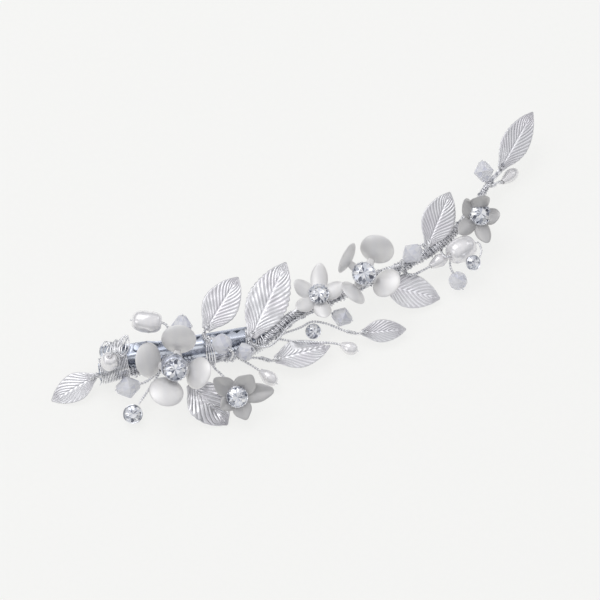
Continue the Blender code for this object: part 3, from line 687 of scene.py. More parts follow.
def curve_object(name, paths, widths=None):
    """Curve with one polyline for each path of points in metres."""
    data = bpy.data.curves.new(name, "CURVE")
    data.dimensions = "3D"
    for number, path in enumerate(paths):
        spline = data.splines.new("POLY")
        spline.points.add(len(path) - 1)
        for index, point in enumerate(path):
            spline.points[index].co = (*point, 1.0)
            spline.points[index].radius = widths[number][index] if widths else 1.0
    return new_object(name, data)


def wire_mesh(paths, tree, values, widths=None):
    """Mesh of the strands along millimetre paths; `widths` scales the lay at each point."""
    placed = [[place(point) for point in path] for path in paths]
    return baked(with_tree(curve_object("paths", placed, widths), tree, values))


# ---------------------------------------------------------------- shared shader groups

class Shading(Nodes):
    """A shader node tree, in a material or in a shared group."""

    def mix(self, factor, first, second, blend="MIX"):
        """Colour between two others, or one of them blended over the other."""
        node = self.node(
            "ShaderNodeMix", {0: factor, 6: first, 7: second}, data_type="RGBA", blend_type=blend)
        return node.outputs[2]

    def spread(self, value, from_low, from_high, to_low=0.0, to_high=1.0):
        """A stretch of a value brought to another stretch."""
        return self.get("ShaderNodeMapRange", {
            "Value": value, "From Min": from_low, "From Max": from_high, "To Min": to_low,
            "To Max": to_high})

    def noise(self, vector, scale, detail):
        """Cloudy 0 to 1 value."""
        return self.get("ShaderNodeTexNoise", {"Vector": vector, "Scale": scale, "Detail": detail})


def shader_group(name, inputs, outputs):
    """Empty shared group with its sockets, and its given values."""
    shading = Shading(bpy.data.node_groups.new(name, "ShaderNodeTree"))
    shading.sockets("INPUT", inputs)
    shading.sockets("OUTPUT", outputs)
    return shading, shading.node("NodeGroupInput").outputs


def worn_metal_group():
    """Plating with cloudy tarnish, fine grain and rubbed patches."""
    shading, given = shader_group("worn_plating", {
        "Vector": ["Vector"], "Color": ["Plating", "Tarnish"],
        "Float": ["Tarnish share", "Roughness", "Cloud scale", "Grain scale"]},
        {"Color": ["Color"], "Float": ["Roughness", "Height"]})
    cloud = shading.noise(given["Vector"], given["Cloud scale"], 4.0)
    grain = shading.noise(given["Vector"], given["Grain scale"], 2.0)
    patch = shading.spread(cloud, 0.42, 0.68)
    share = shading.product(patch, given["Tarnish share"])
    rough = shading.math("MULTIPLY_ADD", patch, 0.07, given["Roughness"])
    shading.node("NodeGroupOutput", {
        "Color": shading.mix(share, given["Plating"], given["Tarnish"]),
        "Roughness": shading.math("MULTIPLY_ADD", grain, 0.06, rough), "Height": grain})
    return shading.tree


def facet_glint_group():
    """Painted reflection of a cut facet: its colour runs from dark through tint to white, standing
    in for glints and dark reflections.
    """
    shading, given = shader_group("painted_facet_glints", {
        "Float": ["Facet"], "Color": ["Painted dark reflection", "Tint", "Bright"]},
        {"Color": ["Color"], "Float": ["Roughness"]})
    low = shading.spread(given["Facet"], 0.05, 0.35)
    high = shading.spread(given["Facet"], 0.35, 0.8)
    tinted = shading.mix(low, given["Painted dark reflection"], given["Tint"])
    shading.node("NodeGroupOutput", {
        "Color": shading.mix(high, tinted, given["Bright"]),
        "Roughness": shading.spread(given["Facet"], 0.0, 1.0, 0.12, 0.03)})
    return shading.tree


def lustre_group():
    """Soft growth bands and clouds for nacre and for pearly lacquer."""
    shading, given = shader_group("pearly_lustre", {
        "Vector": ["Vector"], "Color": ["Base", "Warm", "Cool"],
        "Float": ["Band scale", "Roughness"]},
        {"Color": ["Color"], "Float": ["Roughness", "Height"]})
    cloud = shading.noise(given["Vector"], given["Band scale"], 3.0)
    bands = shading.node("ShaderNodeTexWave", {
        "Vector": given["Vector"], "Scale": given["Band scale"], "Distortion": 3.0, "Detail": 2.0,
        "Detail Scale": 1.5}).outputs[1]
    warm = shading.mix(shading.product(cloud, 0.55), given["Base"], given["Warm"])
    shading.node("NodeGroupOutput", {
        "Color": shading.mix(shading.product(bands, 0.22), warm, given["Cool"]),
        "Roughness": shading.math("MULTIPLY_ADD", cloud, 0.12, given["Roughness"]),
        "Height": shading.math("ADD", shading.product(bands, 0.5), cloud)})
    return shading.tree


# ---------------------------------------------------------------- materials

def tinted(color, red=1.0, green=1.0, blue=1.0):
    """Opaque colour with each part scaled."""
    return (color[0] * red, color[1] * green, color[2] * blue, 1.0)


def principled(name, constants):
    """New material with plain values on its shader; the shading, the shader and the place."""
    material = bpy.data.materials.new(name)
    material.use_nodes = True
    shading = Shading(material.node_tree)
    shader = material.node_tree.nodes["Principled BSDF"]
    for key, value in constants.items():
        shader.inputs[key].default_value = value
    where = shading.node("ShaderNodeTexCoord").outputs["Object"]
    return material, shading, shader, where


def wire_up(shading, shader, group, values, bump=0.0):
    """Place a shared group and lead its colour, roughness and height into the shader."""
    node = shading.node("ShaderNodeGroup", values, node_tree=group)
    for label in ("Color", "Roughness"):
        shading.tree.links.new(
            node.outputs[label], shader.inputs["Base Color" if label == "Color" else label])
    if bump:
        lifted = shading.get("ShaderNodeBump", {
            "Height": node.outputs["Height"], "Strength": bump, "Distance": 0.02 * MM})
        shading.tree.links.new(lifted, shader.inputs["Normal"])
    return node


def metal(name, group, plating, tarnish, share, roughness, cloud, grain, stretch=(1.0, 1.0, 1.0)):
    """Plated metal; `stretch` draws the grain out along an axis."""
    material, shading, shader, where = principled(name, {"Metallic": 1.0})
    drawn = shading.get("ShaderNodeMapping", {"Vector": where, "Scale": stretch})
    wire_up(shading, shader, group, {
        "Vector": drawn, "Plating": tinted(plating), "Tarnish": tinted(tarnish),
        "Tarnish share": share, "Roughness": roughness, "Cloud scale": cloud,
        "Grain scale": grain}, 0.35)
    return material


def leaf_plate(name, group, shine):
    """Silver plate with painted shade in the pressed valleys between the ribs, and faintly pink in
    patches.
    """
    material, shading, shader, where = principled(name, {"Metallic": 0.82})
    worn = wire_up(shading, shader, group, {
        "Vector": where, "Plating": (0.93, 0.93, 0.95, 1.0), "Tarnish": (0.86, 0.83, 0.88, 1.0),
        "Tarnish share": 0.6, "Roughness": shine, "Cloud scale": 180.0, "Grain scale": 2600.0}, 0.3)
    relief = shading.node("ShaderNodeAttribute", attribute_name="relief").outputs["Fac"]
    # Painted shade: the colour drops to 0.7 of the plating where the pressed relief is low.
    painted_valley_shade = shading.spread(shading.product(relief, 1.6), 0.0, 1.0, 0.7, 1.0)
    color = shading.mix(1.0, worn.outputs["Color"], painted_valley_shade, "MULTIPLY")
    shading.tree.links.new(color, shader.inputs["Base Color"])
    return material


def cut_glass(name, group, dark, tint, bright, constants):
    """Cut glass with painted reflections: each facet gets its own colour between dark, tint and
    bright.
    """
    material, shading, shader, _ = principled(name, constants)
    facet = shading.node("ShaderNodeAttribute", attribute_name="facet").outputs["Fac"]
    wire_up(shading, shader, group, {
        "Facet": facet, "Painted dark reflection": dark, "Tint": tint, "Bright": bright})
    return material


def pearly(name, group, base, warm, cool, scale, roughness, bump, constants):
    """Nacre or pearly lacquer."""
    material, shading, shader, where = principled(name, constants)
    wire_up(shading, shader, group, {
        "Vector": where, "Base": base, "Warm": warm, "Cool": cool, "Band scale": scale,
        "Roughness": roughness}, bump)
    return material


def floor_paper(color):
    """Pale paper with a faint tooth."""
    material, shading, shader, where = principled("floor_paper", {
        "Specular IOR Level": 0.2, "Roughness": 0.85, "Emission Color": tinted(color),
        "Emission Strength": 0.83})
    fibre = shading.noise(where, 700.0, 3.0)
    paper = shading.mix(fibre, tinted(color, 0.2, 0.2, 0.2), tinted(color, 0.22, 0.22, 0.22))
    shading.tree.links.new(paper, shader.inputs["Base Color"])
    return material


class Finishes:
    """Every tree and material of the clip, made once."""

    def __init__(self, scene):
        worn = worn_metal_group()
        facets = facet_glint_group()
        lustre = lustre_group()
        enamel = scene.hair_clip_flowers.enamel
        nacre = scene.hair_clip_beads.nacre
        crystal = scene.hair_clip_beads.crystal
        self.steel = metal(
            "clip_steel_brushed", worn, (0.78, 0.82, 0.91), (0.26, 0.29, 0.36), 0.8, 0.16, 220.0,
            1500.0, (0.25, 1.0, 1.0))
        self.wire = metal(
            "drawn_silver", worn, (0.95, 0.95, 0.97), (0.34, 0.35, 0.39), 0.8, 0.1, 800.0, 4000.0)
        self.fine_wire = metal(
            "drawn_silver_fine", worn, (0.98, 0.98, 0.99), (0.60, 0.61, 0.66), 0.5, 0.2, 800.0,
            4000.0)
        self.setting = metal(
            "setting_plate", worn, (0.88, 0.89, 0.92), (0.34, 0.35, 0.39), 0.7, 0.1, 400.0, 3000.0)
        self.leaf = leaf_plate("leaf_plate", worn, 0.3)
        self.bright_leaf = leaf_plate("leaf_plate_polished", worn, 0.08)
        # The second copy, at 0.68 of the lacquer's brightness, is painted shade for flowers 4 and
        # 5.
        self.petal, self.painted_shade_petal = (pearly(
            name, lustre, tinted(enamel, share, share, share),
            tinted(enamel, share * 1.05, share * 1.05, share * 1.05),
            tinted(enamel, share * 0.92, share * 0.93, share * 0.97), 120.0, 0.42, 0.15,
            {"Metallic": 0.5, "Coat Weight": 0.15, "Coat Roughness": 0.25})
            for name, share in (("petal_lacquer", 1.0), ("petal_lacquer_painted_shade", 0.68)))
        self.pearl = pearly(
            "nacre", lustre, tinted(nacre), tinted(nacre, 1.0, 0.98, 0.96),
            tinted(nacre, 0.9, 0.92, 0.97), 260.0, 0.16, 0.4,
            {"Metallic": 0.3, "Coat Weight": 0.6, "Coat Roughness": 0.06})
        # Facet colours of the stones and crystals are painted reflections: dark, tinted and white
        # facets.
        self.stone = cut_glass(
            "rhinestone_cut", facets, (0.13, 0.14, 0.18, 1.0), (0.76, 0.79, 0.87, 1.0),
            (1.0, 1.0, 1.0, 1.0),
            {"Metallic": 0.5, "IOR": 1.6, "Coat Weight": 0.5, "Coat Roughness": 0.02})
        self.crystal = cut_glass(
            "crystal_cut", facets, tinted(crystal, 0.86, 0.87, 0.92), tinted(crystal),
            (0.98, 0.98, 1.0, 1.0), {"Transmission Weight": 0.25, "IOR": 1.5})
        self.pair = strand_tree("twisted_pair", 2, False)
        self.coil = strand_tree("coiled_wire", 1, False)
        self.bundle = strand_tree("stem_bundle", 12, True)
        self.emboss = emboss_tree()
        self.grains = grain_tree()


FINISHES = []


def finishes(context):
    """The shared trees and materials, made at the first call."""
    if not FINISHES:
        FINISHES.append(Finishes(context.scene))
    return FINISHES[0]


# ---------------------------------------------------------------- clip

def refined(node, material, body, bevel):
    """Carried-over clip part with rounded edges."""
    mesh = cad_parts[node].data.copy()
    with editing(mesh) as shape:
        bmesh.ops.remove_doubles(shape, verts=shape.verts, dist=0.005 * MM)
        bmesh.ops.dissolve_limit(
            shape, angle_limit=math.radians(1.0), verts=shape.verts, edges=shape.edges)
        for face in shape.faces:
            face.smooth = True
    obj = new_object(node + "_work", mesh)
    soft = obj.modifiers.new("rolled edges", "BEVEL")
    soft.width = bevel * MM
    soft.segments = 2
    soft.limit_method = "ANGLE"
    soft.angle_limit = math.radians(28.0)
    result = baked(obj)
    result.set_sharp_from_angle(angle=math.radians(50.0))
    finish_piece(node + "_rounded", result, material, node, body)


def make_spring(material):
    """Coil with its front leg, and the leg that travels with the smooth arm."""
    low = CLIP_Z - SPRING_TURNS * SPRING_PITCH / 2
    high = CLIP_Z + SPRING_TURNS * SPRING_PITCH / 2
    coil = [(-6.6, -1.75, low), (-4.8, -1.52, low), (-3.0, -1.32, low), (-1.4, -1.27, low)]
    steps = int(SPRING_TURNS * SPRING_STEPS)
    for step in range(steps + 1):
        angle = -math.pi / 2 + math.tau * SPRING_TURNS * step / steps
        height = low + (high - low) * step / steps
        coil.append((SPRING_MEAN * math.cos(angle), SPRING_MEAN * math.sin(angle), height))
    leg = smooth_path(
        [(-0.75, 1.36, high), (-1.6, 1.5, high), (-3.0, 1.66, high), (-6.9, 1.85, high)], 6)
    for name, points, body in (("spring_coil", coil, ARMS), ("spring_leg", leg, SMOOTH_ARM)):
        obj = curve_object(name + "_work", [[place(point) for point in points]])
        obj.data.bevel_depth = SPRING_WIRE * MM
        obj.data.bevel_resolution = 3
        obj.data.use_fill_caps = True
        finish_piece(
            name + "_wound", outward(baked(obj), 60.0), material, name, body)


# ---------------------------------------------------------------- wires

def stem_width(x):
    """Share of the stem's full radius at x."""
    return 1.12 if 29.0 < x < 46.0 else 1.0 if x < 90.0 else max(0.5, 1.0 - (x - 90.0) * 0.035)


def stem_at(x):
    """Middle of the stem at x."""
    for start, end in zip(STEM, STEM[1:]):
        if start[0] <= x <= end[0]:
            return Vector(start).lerp(Vector(end), (x - start[0]) / (end[0] - start[0]))
    return Vector(STEM[0])


def row_of(table, name):
    """The row of a table that begins with a name."""
    return next(row for row in table if row[0] == name)


def leaf_hole(base, tip, facing):
    """Centre of a leaf's wire hole, the leaf's true facing and its direction."""
    along = (Vector(tip) - Vector(base)).normalized()
    true_facing = Vector(facing)
    true_facing = (true_facing - along * true_facing.dot(along)).normalized()
    return Vector(base) + along * HOLE_FROM_BASE, true_facing, along


def leaf_loops(name):
    """Fine loops from a leaf's hole round its base."""
    hole, facing, along = leaf_hole(*row_of(LEAVES, name)[1:4])
    side = facing.cross(along)
    paths = []
    for fan, swell in ((-0.34, 1.0), (0.0, 1.12), (0.34, 1.04), (0.62, 1.2)):
        middle = hole - along * 0.95 * swell + side * fan * 0.45
        out = (along + side * fan).normalized()
        paths.append([middle + (out * x + facing * y * 0.75) * swell
                      for x, y, _ in circle(20, 1.0, 0.0) + [(1.0, 0.0, 0.0)]])
    return paths


def stretch_of(path, distances, start, end):
    """The part of a path between two distances from its start."""
    return [point for point, distance in zip(path[:-1], distances) if start <= distance <= end]


def sprig_path(items):
    """Points of one formed wire, which of them leave its leaves, and its leaves."""
    points = []
    ends = []
    leaves = []
    for item in items:
        if item[0] == LEAF:
            _, name, outwards = item
            _, base, tip, facing, _, _, side, *_ = row_of(LEAVES, name)
            hole, facing, along = leaf_hole(base, tip, facing)
            run = [Vector(base) - along * 0.9 + facing * 0.75 * side, hole + facing * 0.95 * side,
                   hole - facing * 0.7 * side]
            leaves.append(name)
            points += run if outwards else run[::-1]
            ends.append(len(points) - (3 if outwards else 1))
        elif item[0] == BEAD:
            _, name, extra, outwards = item
            _, _, centre, axis, bead_length, _ = row_of(BEADS, name)
            step = Vector(axis).normalized() * (bead_length / 2 + extra)
            run = [Vector(centre) - step, Vector(centre) + step]
            points += run if outwards else run[::-1]
        else:
            points.append(Vector(item))
    return points, ends, leaves


def lone_wire(radius, step, material):
    """Inputs of the coil tree for a single wire that follows its path."""
    return {"Lay radius": 0.0, "Lay length": 1.0, "Wire radius": radius, "Step": step * MM,
            "Wander": 0.0, "Sides": 6, "Material": material}


def make_sprigs(context, parts):
    """Eleven twisted pairs with fine coils where they hold an ornament or meet the stem."""
    sizes = context.scene.hair_clip_wires
    thin = sizes.fine * 0.8
    per_span = 7
    pair = {
        "Lay radius": sizes.sprig, "Lay length": sizes.twist, "Wire radius": sizes.sprig,
        "Step": 0.17 * MM, "Wander": sizes.unevenness, "Sides": 6, "Material": parts.fine_wire}
    coil = {
        "Lay radius": sizes.sprig * 2 + thin, "Lay length": sizes.fine * 2.5, "Wire radius": thin,
        "Step": 0.032 * MM, "Wander": sizes.unevenness * 1.5, "Sides": 5,
        "Material": parts.fine_wire}
    for name, items in SPRIGS.items():
        points, ends, leaves = sprig_path(items)
        path = smooth_path(points, per_span)
        widths = [ease(0, 5, min(i, len(path) - 1 - i)) for i in range(len(path))]
        meshes = [wire_mesh([path], parts.pair, pair, [widths])]
        distances = [0.0]
        for first, second in zip(path, path[1:]):
            distances.append(distances[-1] + (second - first).length)
        spans = []
        for end in ends:
            here = distances[end * per_span]
            spans.append((here + 0.2, here + 3.2) if end < 3 else (here - 3.4, here - 0.1))
        for index in range(3, len(points) - 2):
            if (points[index] - stem_at(points[index].x)).length < 2.4:
                here = distances[index * per_span]
                spans.append((here - 1.3, here + 1.3))
        stretches = [stretch_of(path, distances, *span) for span in spans]
        stretches = [stretch for stretch in stretches if len(stretch) > 2]
        if stretches:
            meshes.append(wire_mesh(stretches, parts.coil, coil))
        loops = [ring for leaf in leaves for ring in leaf_loops(leaf)]
        if loops:
            meshes.append(wire_mesh(loops, parts.coil, lone_wire(thin, 0.16, parts.fine_wire)))
        finish_piece(name + "_twisted", joined(name, meshes), parts.fine_wire, name)


def make_stem(context, parts):
    """Bundle of twelve strands, thinning towards the tip, with fine wire coiled on it."""
    sizes = context.scene.hair_clip_wires
    hole, facing, _ = leaf_hole(*row_of(LEAVES, "leaf_9")[1:4])
    path = smooth_path(STEM + [hole - facing * 1.0, hole + facing * 0.6], 6)
    widths = [stem_width(p.x) for p in path]
    for index in range(1, 14):
        widths[-index] = min(widths[-index], 0.24 + 0.02 * index)
    shared = {"Wander": sizes.unevenness, "Sides": 5, "Material": parts.wire}
    meshes = [wire_mesh([path], parts.bundle, {
        **shared, "Lay radius": (STEM_RADIUS - STRAND_RADIUS) * MM, "Step": 0.4 * MM,
        "Lay length": sizes.stem_twist, "Wire radius": STRAND_RADIUS * MM,
        "Wander": sizes.unevenness * 0.6, "Core radius": CORE_RADIUS * MM, "Sides": 7}, [widths])]
    for start, end, pitch in STEM_COILS:
        stretch = [p for p in path if start <= p.x <= end]
        swell = [stem_width(p.x) + 0.02 for p in stretch]
        meshes.append(wire_mesh([stretch], parts.coil, {
            **shared, "Lay radius": STEM_RADIUS * MM + sizes.fine, "Lay length": pitch * MM,
            "Wire radius": sizes.fine * 1.35, "Step": pitch / 16 * MM}, [swell]))
        meshes.append(wire_mesh([stretch[::-1]], parts.coil, {
            **shared, "Lay radius": (STEM_RADIUS + 0.15) * MM + sizes.fine * 2,
            "Lay length": pitch * 3.7 * MM, "Wire radius": sizes.fine, "Step": pitch / 5 * MM,
            "Wander": sizes.unevenness * 3.0}, [swell[::-1]]))
    finish_piece("stem_strands", joined("stem", meshes), parts.wire, "stem_core")


def front_half(x):
    """Half the width of the toothed arm at x."""
    if x < -2.6:
        return 4.5 + (x + 2.6) * 0.06
    return 4.5 if x < 2.6 else 4.5 - (x - 2.6) * 0.028


def binding_turn(notch, stem_x, spread, inner, spare):
    """One loop through the toothed arm at `notch` and over the stem at `stem_x`."""
    half = front_half(notch)
    low = CLIP_Z - half
    high = CLIP_Z + half
    face = FRONT_FACE if notch > -2.0 else FRONT_FACE + (notch + 2.0) * 0.13
    reach = STEM_RADIUS + 0.35 + spare
    depth, height = stem_at(stem_x - spread)[1:]
    points = [
        (stem_x - spread, depth - 0.6, height - reach), (notch - 0.1, face - 0.35, low + 0.1),
        (notch - 0.05, face + 0.3, low - 0.28), (notch, inner, low - 0.26),
        (notch, inner, high + 0.26)]
    depth, height = stem_at(stem_x + spread)[1:]
    over = max(high + 0.26, height + reach + 0.1)
    return points + [
        (notch + (stem_x - notch) * 0.3, face - 0.15, over),
        (stem_x + spread * 0.4, min(face - 0.9, depth - 0.7), max(high - 0.9, height + reach)),
        (stem_x + spread * 0.8, depth - reach, height + 0.6),
        (stem_x + spread, depth - reach, height - 0.6)]


def under_stem(places):
    """Points below the stem at some places along it."""
    middles = [(x, stem_at(x)) for x in places]
    return [(x, at.y - 0.1, at.z - STEM_RADIUS - 0.4) for x, at in middles]


def make_binding(context, parts):
    """Fine wire lashing stem and clip at the tab, the middle and the jaw end."""
    sizes = context.scene.hair_clip_wires
    points = []
    for index in range(LOOSE_POINTS):
        lap = index / LAP_POINTS
        angle = math.tau * lap
        points.append((
            -8.3 + 0.46 * lap + (1.5 + 0.5 * math.sin(lap * 2.1)) * math.cos(angle),
            0.3 + (2.7 + 0.4 * math.cos(lap * 1.3)) * math.sin(angle + 0.25 * lap),
            9.8 + 0.5 * math.sin(angle * 2 + lap) + 0.1 * lap))
    for index in range(TAB_TURNS):
        at = TAB_START + TAB_STEP * index
        points += binding_turn(at, at, 0.1, -1.1, 0.05 + 0.2 * abs(math.sin(index * 1.7)))
    points += under_stem((-3.0, 0.0, 4.7, 9.4, 15.6))
    for number, spare in LASHINGS:
        notch = FIRST_NOTCH + number * TOOTH_PITCH
        if number == 9:
            points += under_stem((20.6, 23.5, 26.6))
        for turn in range(LASHING_TURNS):
            aside = turn - (LASHING_TURNS - 1) / 2
            offset = aside * 0.26
            stem_x = notch + aside * TOOTH_PITCH / LASHING_TURNS
            points += binding_turn(
                notch + offset, stem_x, 0.16, -0.14 + abs(offset) * 0.5, spare)
    path = [Vector((p.x, p.y, max(p.z, BINDING_LOW))) for p in smooth_path(points, 5)]
    mesh = wire_mesh([path], parts.coil, lone_wire(sizes.fine * 1.3, 0.25, parts.fine_wire))
    finish_piece("binding_wire_wound", mesh, parts.fine_wire, "binding_wire")


# ---------------------------------------------------------------- leaves

def make_leaf(context, parts, row):
    """Pressed leaf: pointed outline, folded along the middle, bent at the tip, slanting ribs."""
    name, base, tip, facing, half_width, bend, _, ribs, saw, roll, crumple = row
    sizes = context.scene.hair_clip_leaves
    length = (Vector(tip) - Vector(base)).length
    _, true_facing, along = leaf_hole(base, tip, facing)
    verts = []
    shares = []
    sides = []
    for i in range(LEAF_ROWS):
        share = i / (LEAF_ROWS - 1)
        width = lookup(LEAF_OUTLINE, share) * half_width
        notches = saw * (1.0 - abs(math.sin(share * ribs * math.pi)))
        for j in range(LEAF_COLUMNS):
            side = 2.0 * j / (LEAF_COLUMNS - 1) - 1.0
            x = share * length
            y = side * width * (1.0 - notches * abs(side) ** 3)
            z = bend * max(share - 0.25, 0.0) ** 2 + 0.02 * abs(y) + 0.004 * y * y
            buckle = noise.noise(Vector((x * 0.34, y * 0.42, half_width))) * 0.5 * crumple
            rolled = roll * ease(0.15, 1.0, -side) * ease(0.3, 0.6, share)
            verts.append((x, -y, z + buckle * ease(0.0, 0.25, share) - rolled * 2.6))
            shares.append(share)
            sides.append(-1.0 if rolled > 0.02 else side)
    faces = []
    for face in sheet_faces(LEAF_ROWS, LEAF_COLUMNS):
        middle = sum((Vector(verts[k]) for k in face), Vector()) / 4
        if math.hypot(middle.x - HOLE_FROM_BASE, middle.y) > LEAF_HOLE * 1.02:
            faces.append(face[::-1])
    mesh = plain_mesh(name, verts, faces, seat(base, true_facing, along))
    for label, values in (("along", shares), ("across", sides)):
        attribute = mesh.attributes.new(label, "FLOAT", "POINT")
        attribute.data.foreach_set("value", values)
    with editing(mesh) as shape:
        loose = [v for v in shape.verts if not v.link_faces]
        bmesh.ops.delete(shape, geom=loose, context="VERTS")
    plate = parts.bright_leaf if crumple > 0.8 else parts.leaf
    obj = with_tree(new_object(name + "_work", mesh), parts.emboss, {
        "Ribs": float(ribs), "Slant": sizes.slant, "Rib height": sizes.rib * (1.0 + 0.8 * crumple),
        "Midrib height": sizes.midrib, "Material": plate})
    wall = obj.modifiers.new("sheet", "SOLIDIFY")
    wall.thickness = sizes.sheet
    wall.offset = 0.0
    finish_piece(name + "_pressed", baked(obj), plate, name)


# ---------------------------------------------------------------- flowers, settings and stones

def shell(outline, surface, thickness, segments=40, rings=10):
    """Closed thin shell with a rounded rim over an outline given as a radius for each angle."""
    verts = []
    for face_side in (1.0, -1.0):
        for ring in range(rings + 1):
            share = math.sin(0.5 * math.pi * ring / rings)
            half = thickness / 2 * math.sqrt(max(1.0 - share ** 8, 0.0))
            for step in range(segments):
                angle = math.tau * step / segments
                reach = outline(angle) * share
                x = reach * math.cos(angle)
                y = reach * math.sin(angle)
                verts.append((x, y, surface(x, y) + face_side * half))
    count = segments * (rings + 1)
    top = sheet_faces(rings + 1, segments, True)
    bottom = [tuple(k + count for k in f[::-1]) for f in top]
    return verts, top + bottom


def disc_petal(sizes, distance, radius, rise, twist):
    """Round petal on a short neck, tipped up by `rise`."""
    thickness = sizes.sheet / MM
    dome = sizes.dome * radius
    rise = math.radians(rise)
    tip_up = Matrix.Rotation(math.radians(twist), 4, "Z") @ Matrix.Rotation(-rise, 4, "Y")
    height = math.sin(rise) * radius * 0.55
    settle = Matrix.Translation((distance, 0.0, height + 0.1)) @ tip_up
    disc, disc_faces = shell(
        lambda angle: radius * (1.0 + 0.03 * math.cos(2 * angle)),
        lambda x, y: dome * (1.0 - (x * x + y * y) / radius ** 2), thickness)
    inner = distance - radius * math.cos(rise) * 0.8
    reach = max(inner / 2 + 0.4, 1.2)
    neck, neck_faces = shell(
        lambda angle: 1.0 / math.hypot(math.cos(angle) / reach, math.sin(angle) / 1.1),
        lambda x, y: 0.05 * x, thickness * 0.8, 20, 4)
    return [([settle @ Vector(v) for v in disc], disc_faces),
            ([Vector(v) + Vector((reach, 0.0, 0.05)) for v in neck], neck_faces)]


def pointed_petal(sizes, reach, half_width, rise, fold=0.0):
    """Almond petal with a soft point, tipped up by `rise` and creased by `fold`."""
    rise = math.radians(rise)
    half_length = (reach - 1.2) / 2 / math.cos(rise)
    dome = sizes.dome * half_width * 1.2

    def outline(angle):
        oval = 1.0 / math.hypot(math.cos(angle) / half_length, math.sin(angle) / half_width)
        return oval * (1.0 + (0.13 + 0.3 * fold) * max(math.cos(angle), 0.0) ** 14)

    def surface(x, y):
        crease = fold * (math.hypot(y, 0.25) - 1.0)
        return dome * (1.0 - (y / half_width) ** 2) + 0.02 * x * x + crease

    verts, faces = shell(outline, surface, sizes.sheet / MM)
    settle = Matrix.Rotation(-rise, 4, "Y") @ Matrix.Translation((half_length, 0.0, 0.0))
    settle = Matrix.Translation((1.2, 0.0, 0.1)) @ settle
    return [([settle @ Vector(v) for v in verts], faces)]


def make_flower(context, parts, row):
    """Blossom, grain-edged setting on its post, and brilliant-cut stone."""
    name, hub, facing, stone_radius, post, petals = row
    sizes = context.scene.hair_clip_flowers
    wire = context.scene.hair_clip_wires.fine
    matrix = seat(hub, facing)
    meshes = []
    for kind, angle, *shape in petals:
        spin = matrix @ Matrix.Rotation(math.radians(angle), 4, "Z")
        made = (disc_petal if kind == DISC else pointed_petal)(sizes, *shape)
        meshes += [outward(plain_mesh("petal", verts, faces, spin)) for verts, faces in made]
    plate = shell(lambda angle: 2.2, lambda x, y: 0.02 * (x * x + y * y), sizes.sheet / MM, 32, 6)
    meshes.append(outward(plain_mesh("plate", *plate, matrix)))
    # Flowers 4 and 5 get the darker lacquer copy, painted shade.
    lacquer = parts.painted_shade_petal if name in SHADE_PAINTED_FLOWERS else parts.petal
    finish_piece(name + "_blossom", joined(name, meshes), lacquer, name + "_petals")

    rim = stone_radius + 0.4
    cup = [
        (0.0, 0.95), (1.2, 0.95), (stone_radius - 0.25, 2.1), (stone_radius + 0.02, 2.32),
        (rim - 0.12, 2.42), (rim, 2.3), (rim - 0.04, 1.95), (rim - 0.22, 1.6), (rim - 0.12, 1.4),
        (1.95, 0.62), (1.5, 0.45), (0.45, 0.42), (0.45, -post + 0.1), (0.35, -post), (0.0, -post)]
    meshes = [turned_mesh("cup", cup, matrix)]
    grains = with_tree(new_object("grains", bpy.data.meshes.new("grains")), parts.grains, {
        "Ring radius": rim - 0.16, "Height": 2.48, "Count": sizes.rim_beads, "Grain radius": 0.3,
        "Material": parts.setting})
    meshes.append(baked(grains))
    meshes[-1].transform(matrix)
    if name == COLLARED_FLOWER:
        collar = shell(
            lambda angle: 3.4 + 0.1 * math.cos(5 * angle),
            lambda x, y: 0.12 * (x * x + y * y) + 0.1, 0.3, 48, 8)
        lean = matrix @ Matrix.Translation((-0.5, 1.5, 0.3))
        lean = lean @ Matrix.Rotation(math.radians(16), 4, "X")
        meshes.append(outward(plain_mesh("collar", *collar, lean)))
    if post > 1.5:
        heights = (-0.3, -0.3 - (post - 0.5) / 2, -post + 0.2)
        stalk = curve_object("post", [[matrix @ Vector((0.0, 0.0, z)) for z in heights]])
        meshes.append(baked(with_tree(stalk, parts.coil, {
            "Lay radius": 0.45 * MM + wire, "Lay length": wire * 2.4, "Wire radius": wire,
            "Step": wire * 0.15, "Wander": 0.5, "Sides": 6, "Material": parts.wire})))
    finish_piece(
        name + "_cup", joined(name, meshes), parts.setting, name + "_setting")
    stone = matrix @ Matrix.Translation((0.0, 0.0, 2.42))
    mesh = brilliant(
        name + "_stone", stone_radius + 0.02, 0.85, 1.3, stone, len(name) + int(hub[0]))
    finish_piece(name + "_brilliant", mesh, parts.stone, name + "_stone")


def brilliant(name, radius, crown, depth, matrix, seed):
    """Round brilliant: fanned table, stars, kites, girdle facets and pavilion."""
    sides = STONE_SIDES
    half = sides // 2
    verts = [
        (0.0, 0.0, crown * 0.9), *circle(sides, radius * 0.5, crown),
        *circle(half, radius * 0.78, crown * 0.6, 0.5), *circle(sides, radius, 0.08),
        *circle(sides, radius, -0.08), (0.0, 0.0, -depth)]
    culet = len(verts) - 1
    kite = 1 + sides
    belt = kite + half
    under = belt + sides
    faces = []
    for k in range(sides):
        after = (k + 1) % sides
        faces += [
            (0, 1 + k, 1 + after), (belt + k, under + k, under + after, belt + after),
            (under + k, culet, under + after)]
    for k in range(half):
        left = 1 + 2 * k
        peak = 1 + (2 * k + 1) % sides
        right = 1 + (2 * k + 2) % sides
        faces += [
            (left, kite + k, peak), (peak, kite + k, right),
            (left, kite + (k - 1) % half, belt + 2 * k, kite + k),
            (kite + k, belt + 2 * k, belt + 2 * k + 1),
            (kite + k, belt + 2 * k + 1, belt + (2 * k + 2) % sides)]
    return cut_mesh(name, verts, faces, matrix, seed)


# ---------------------------------------------------------------- beads and drops

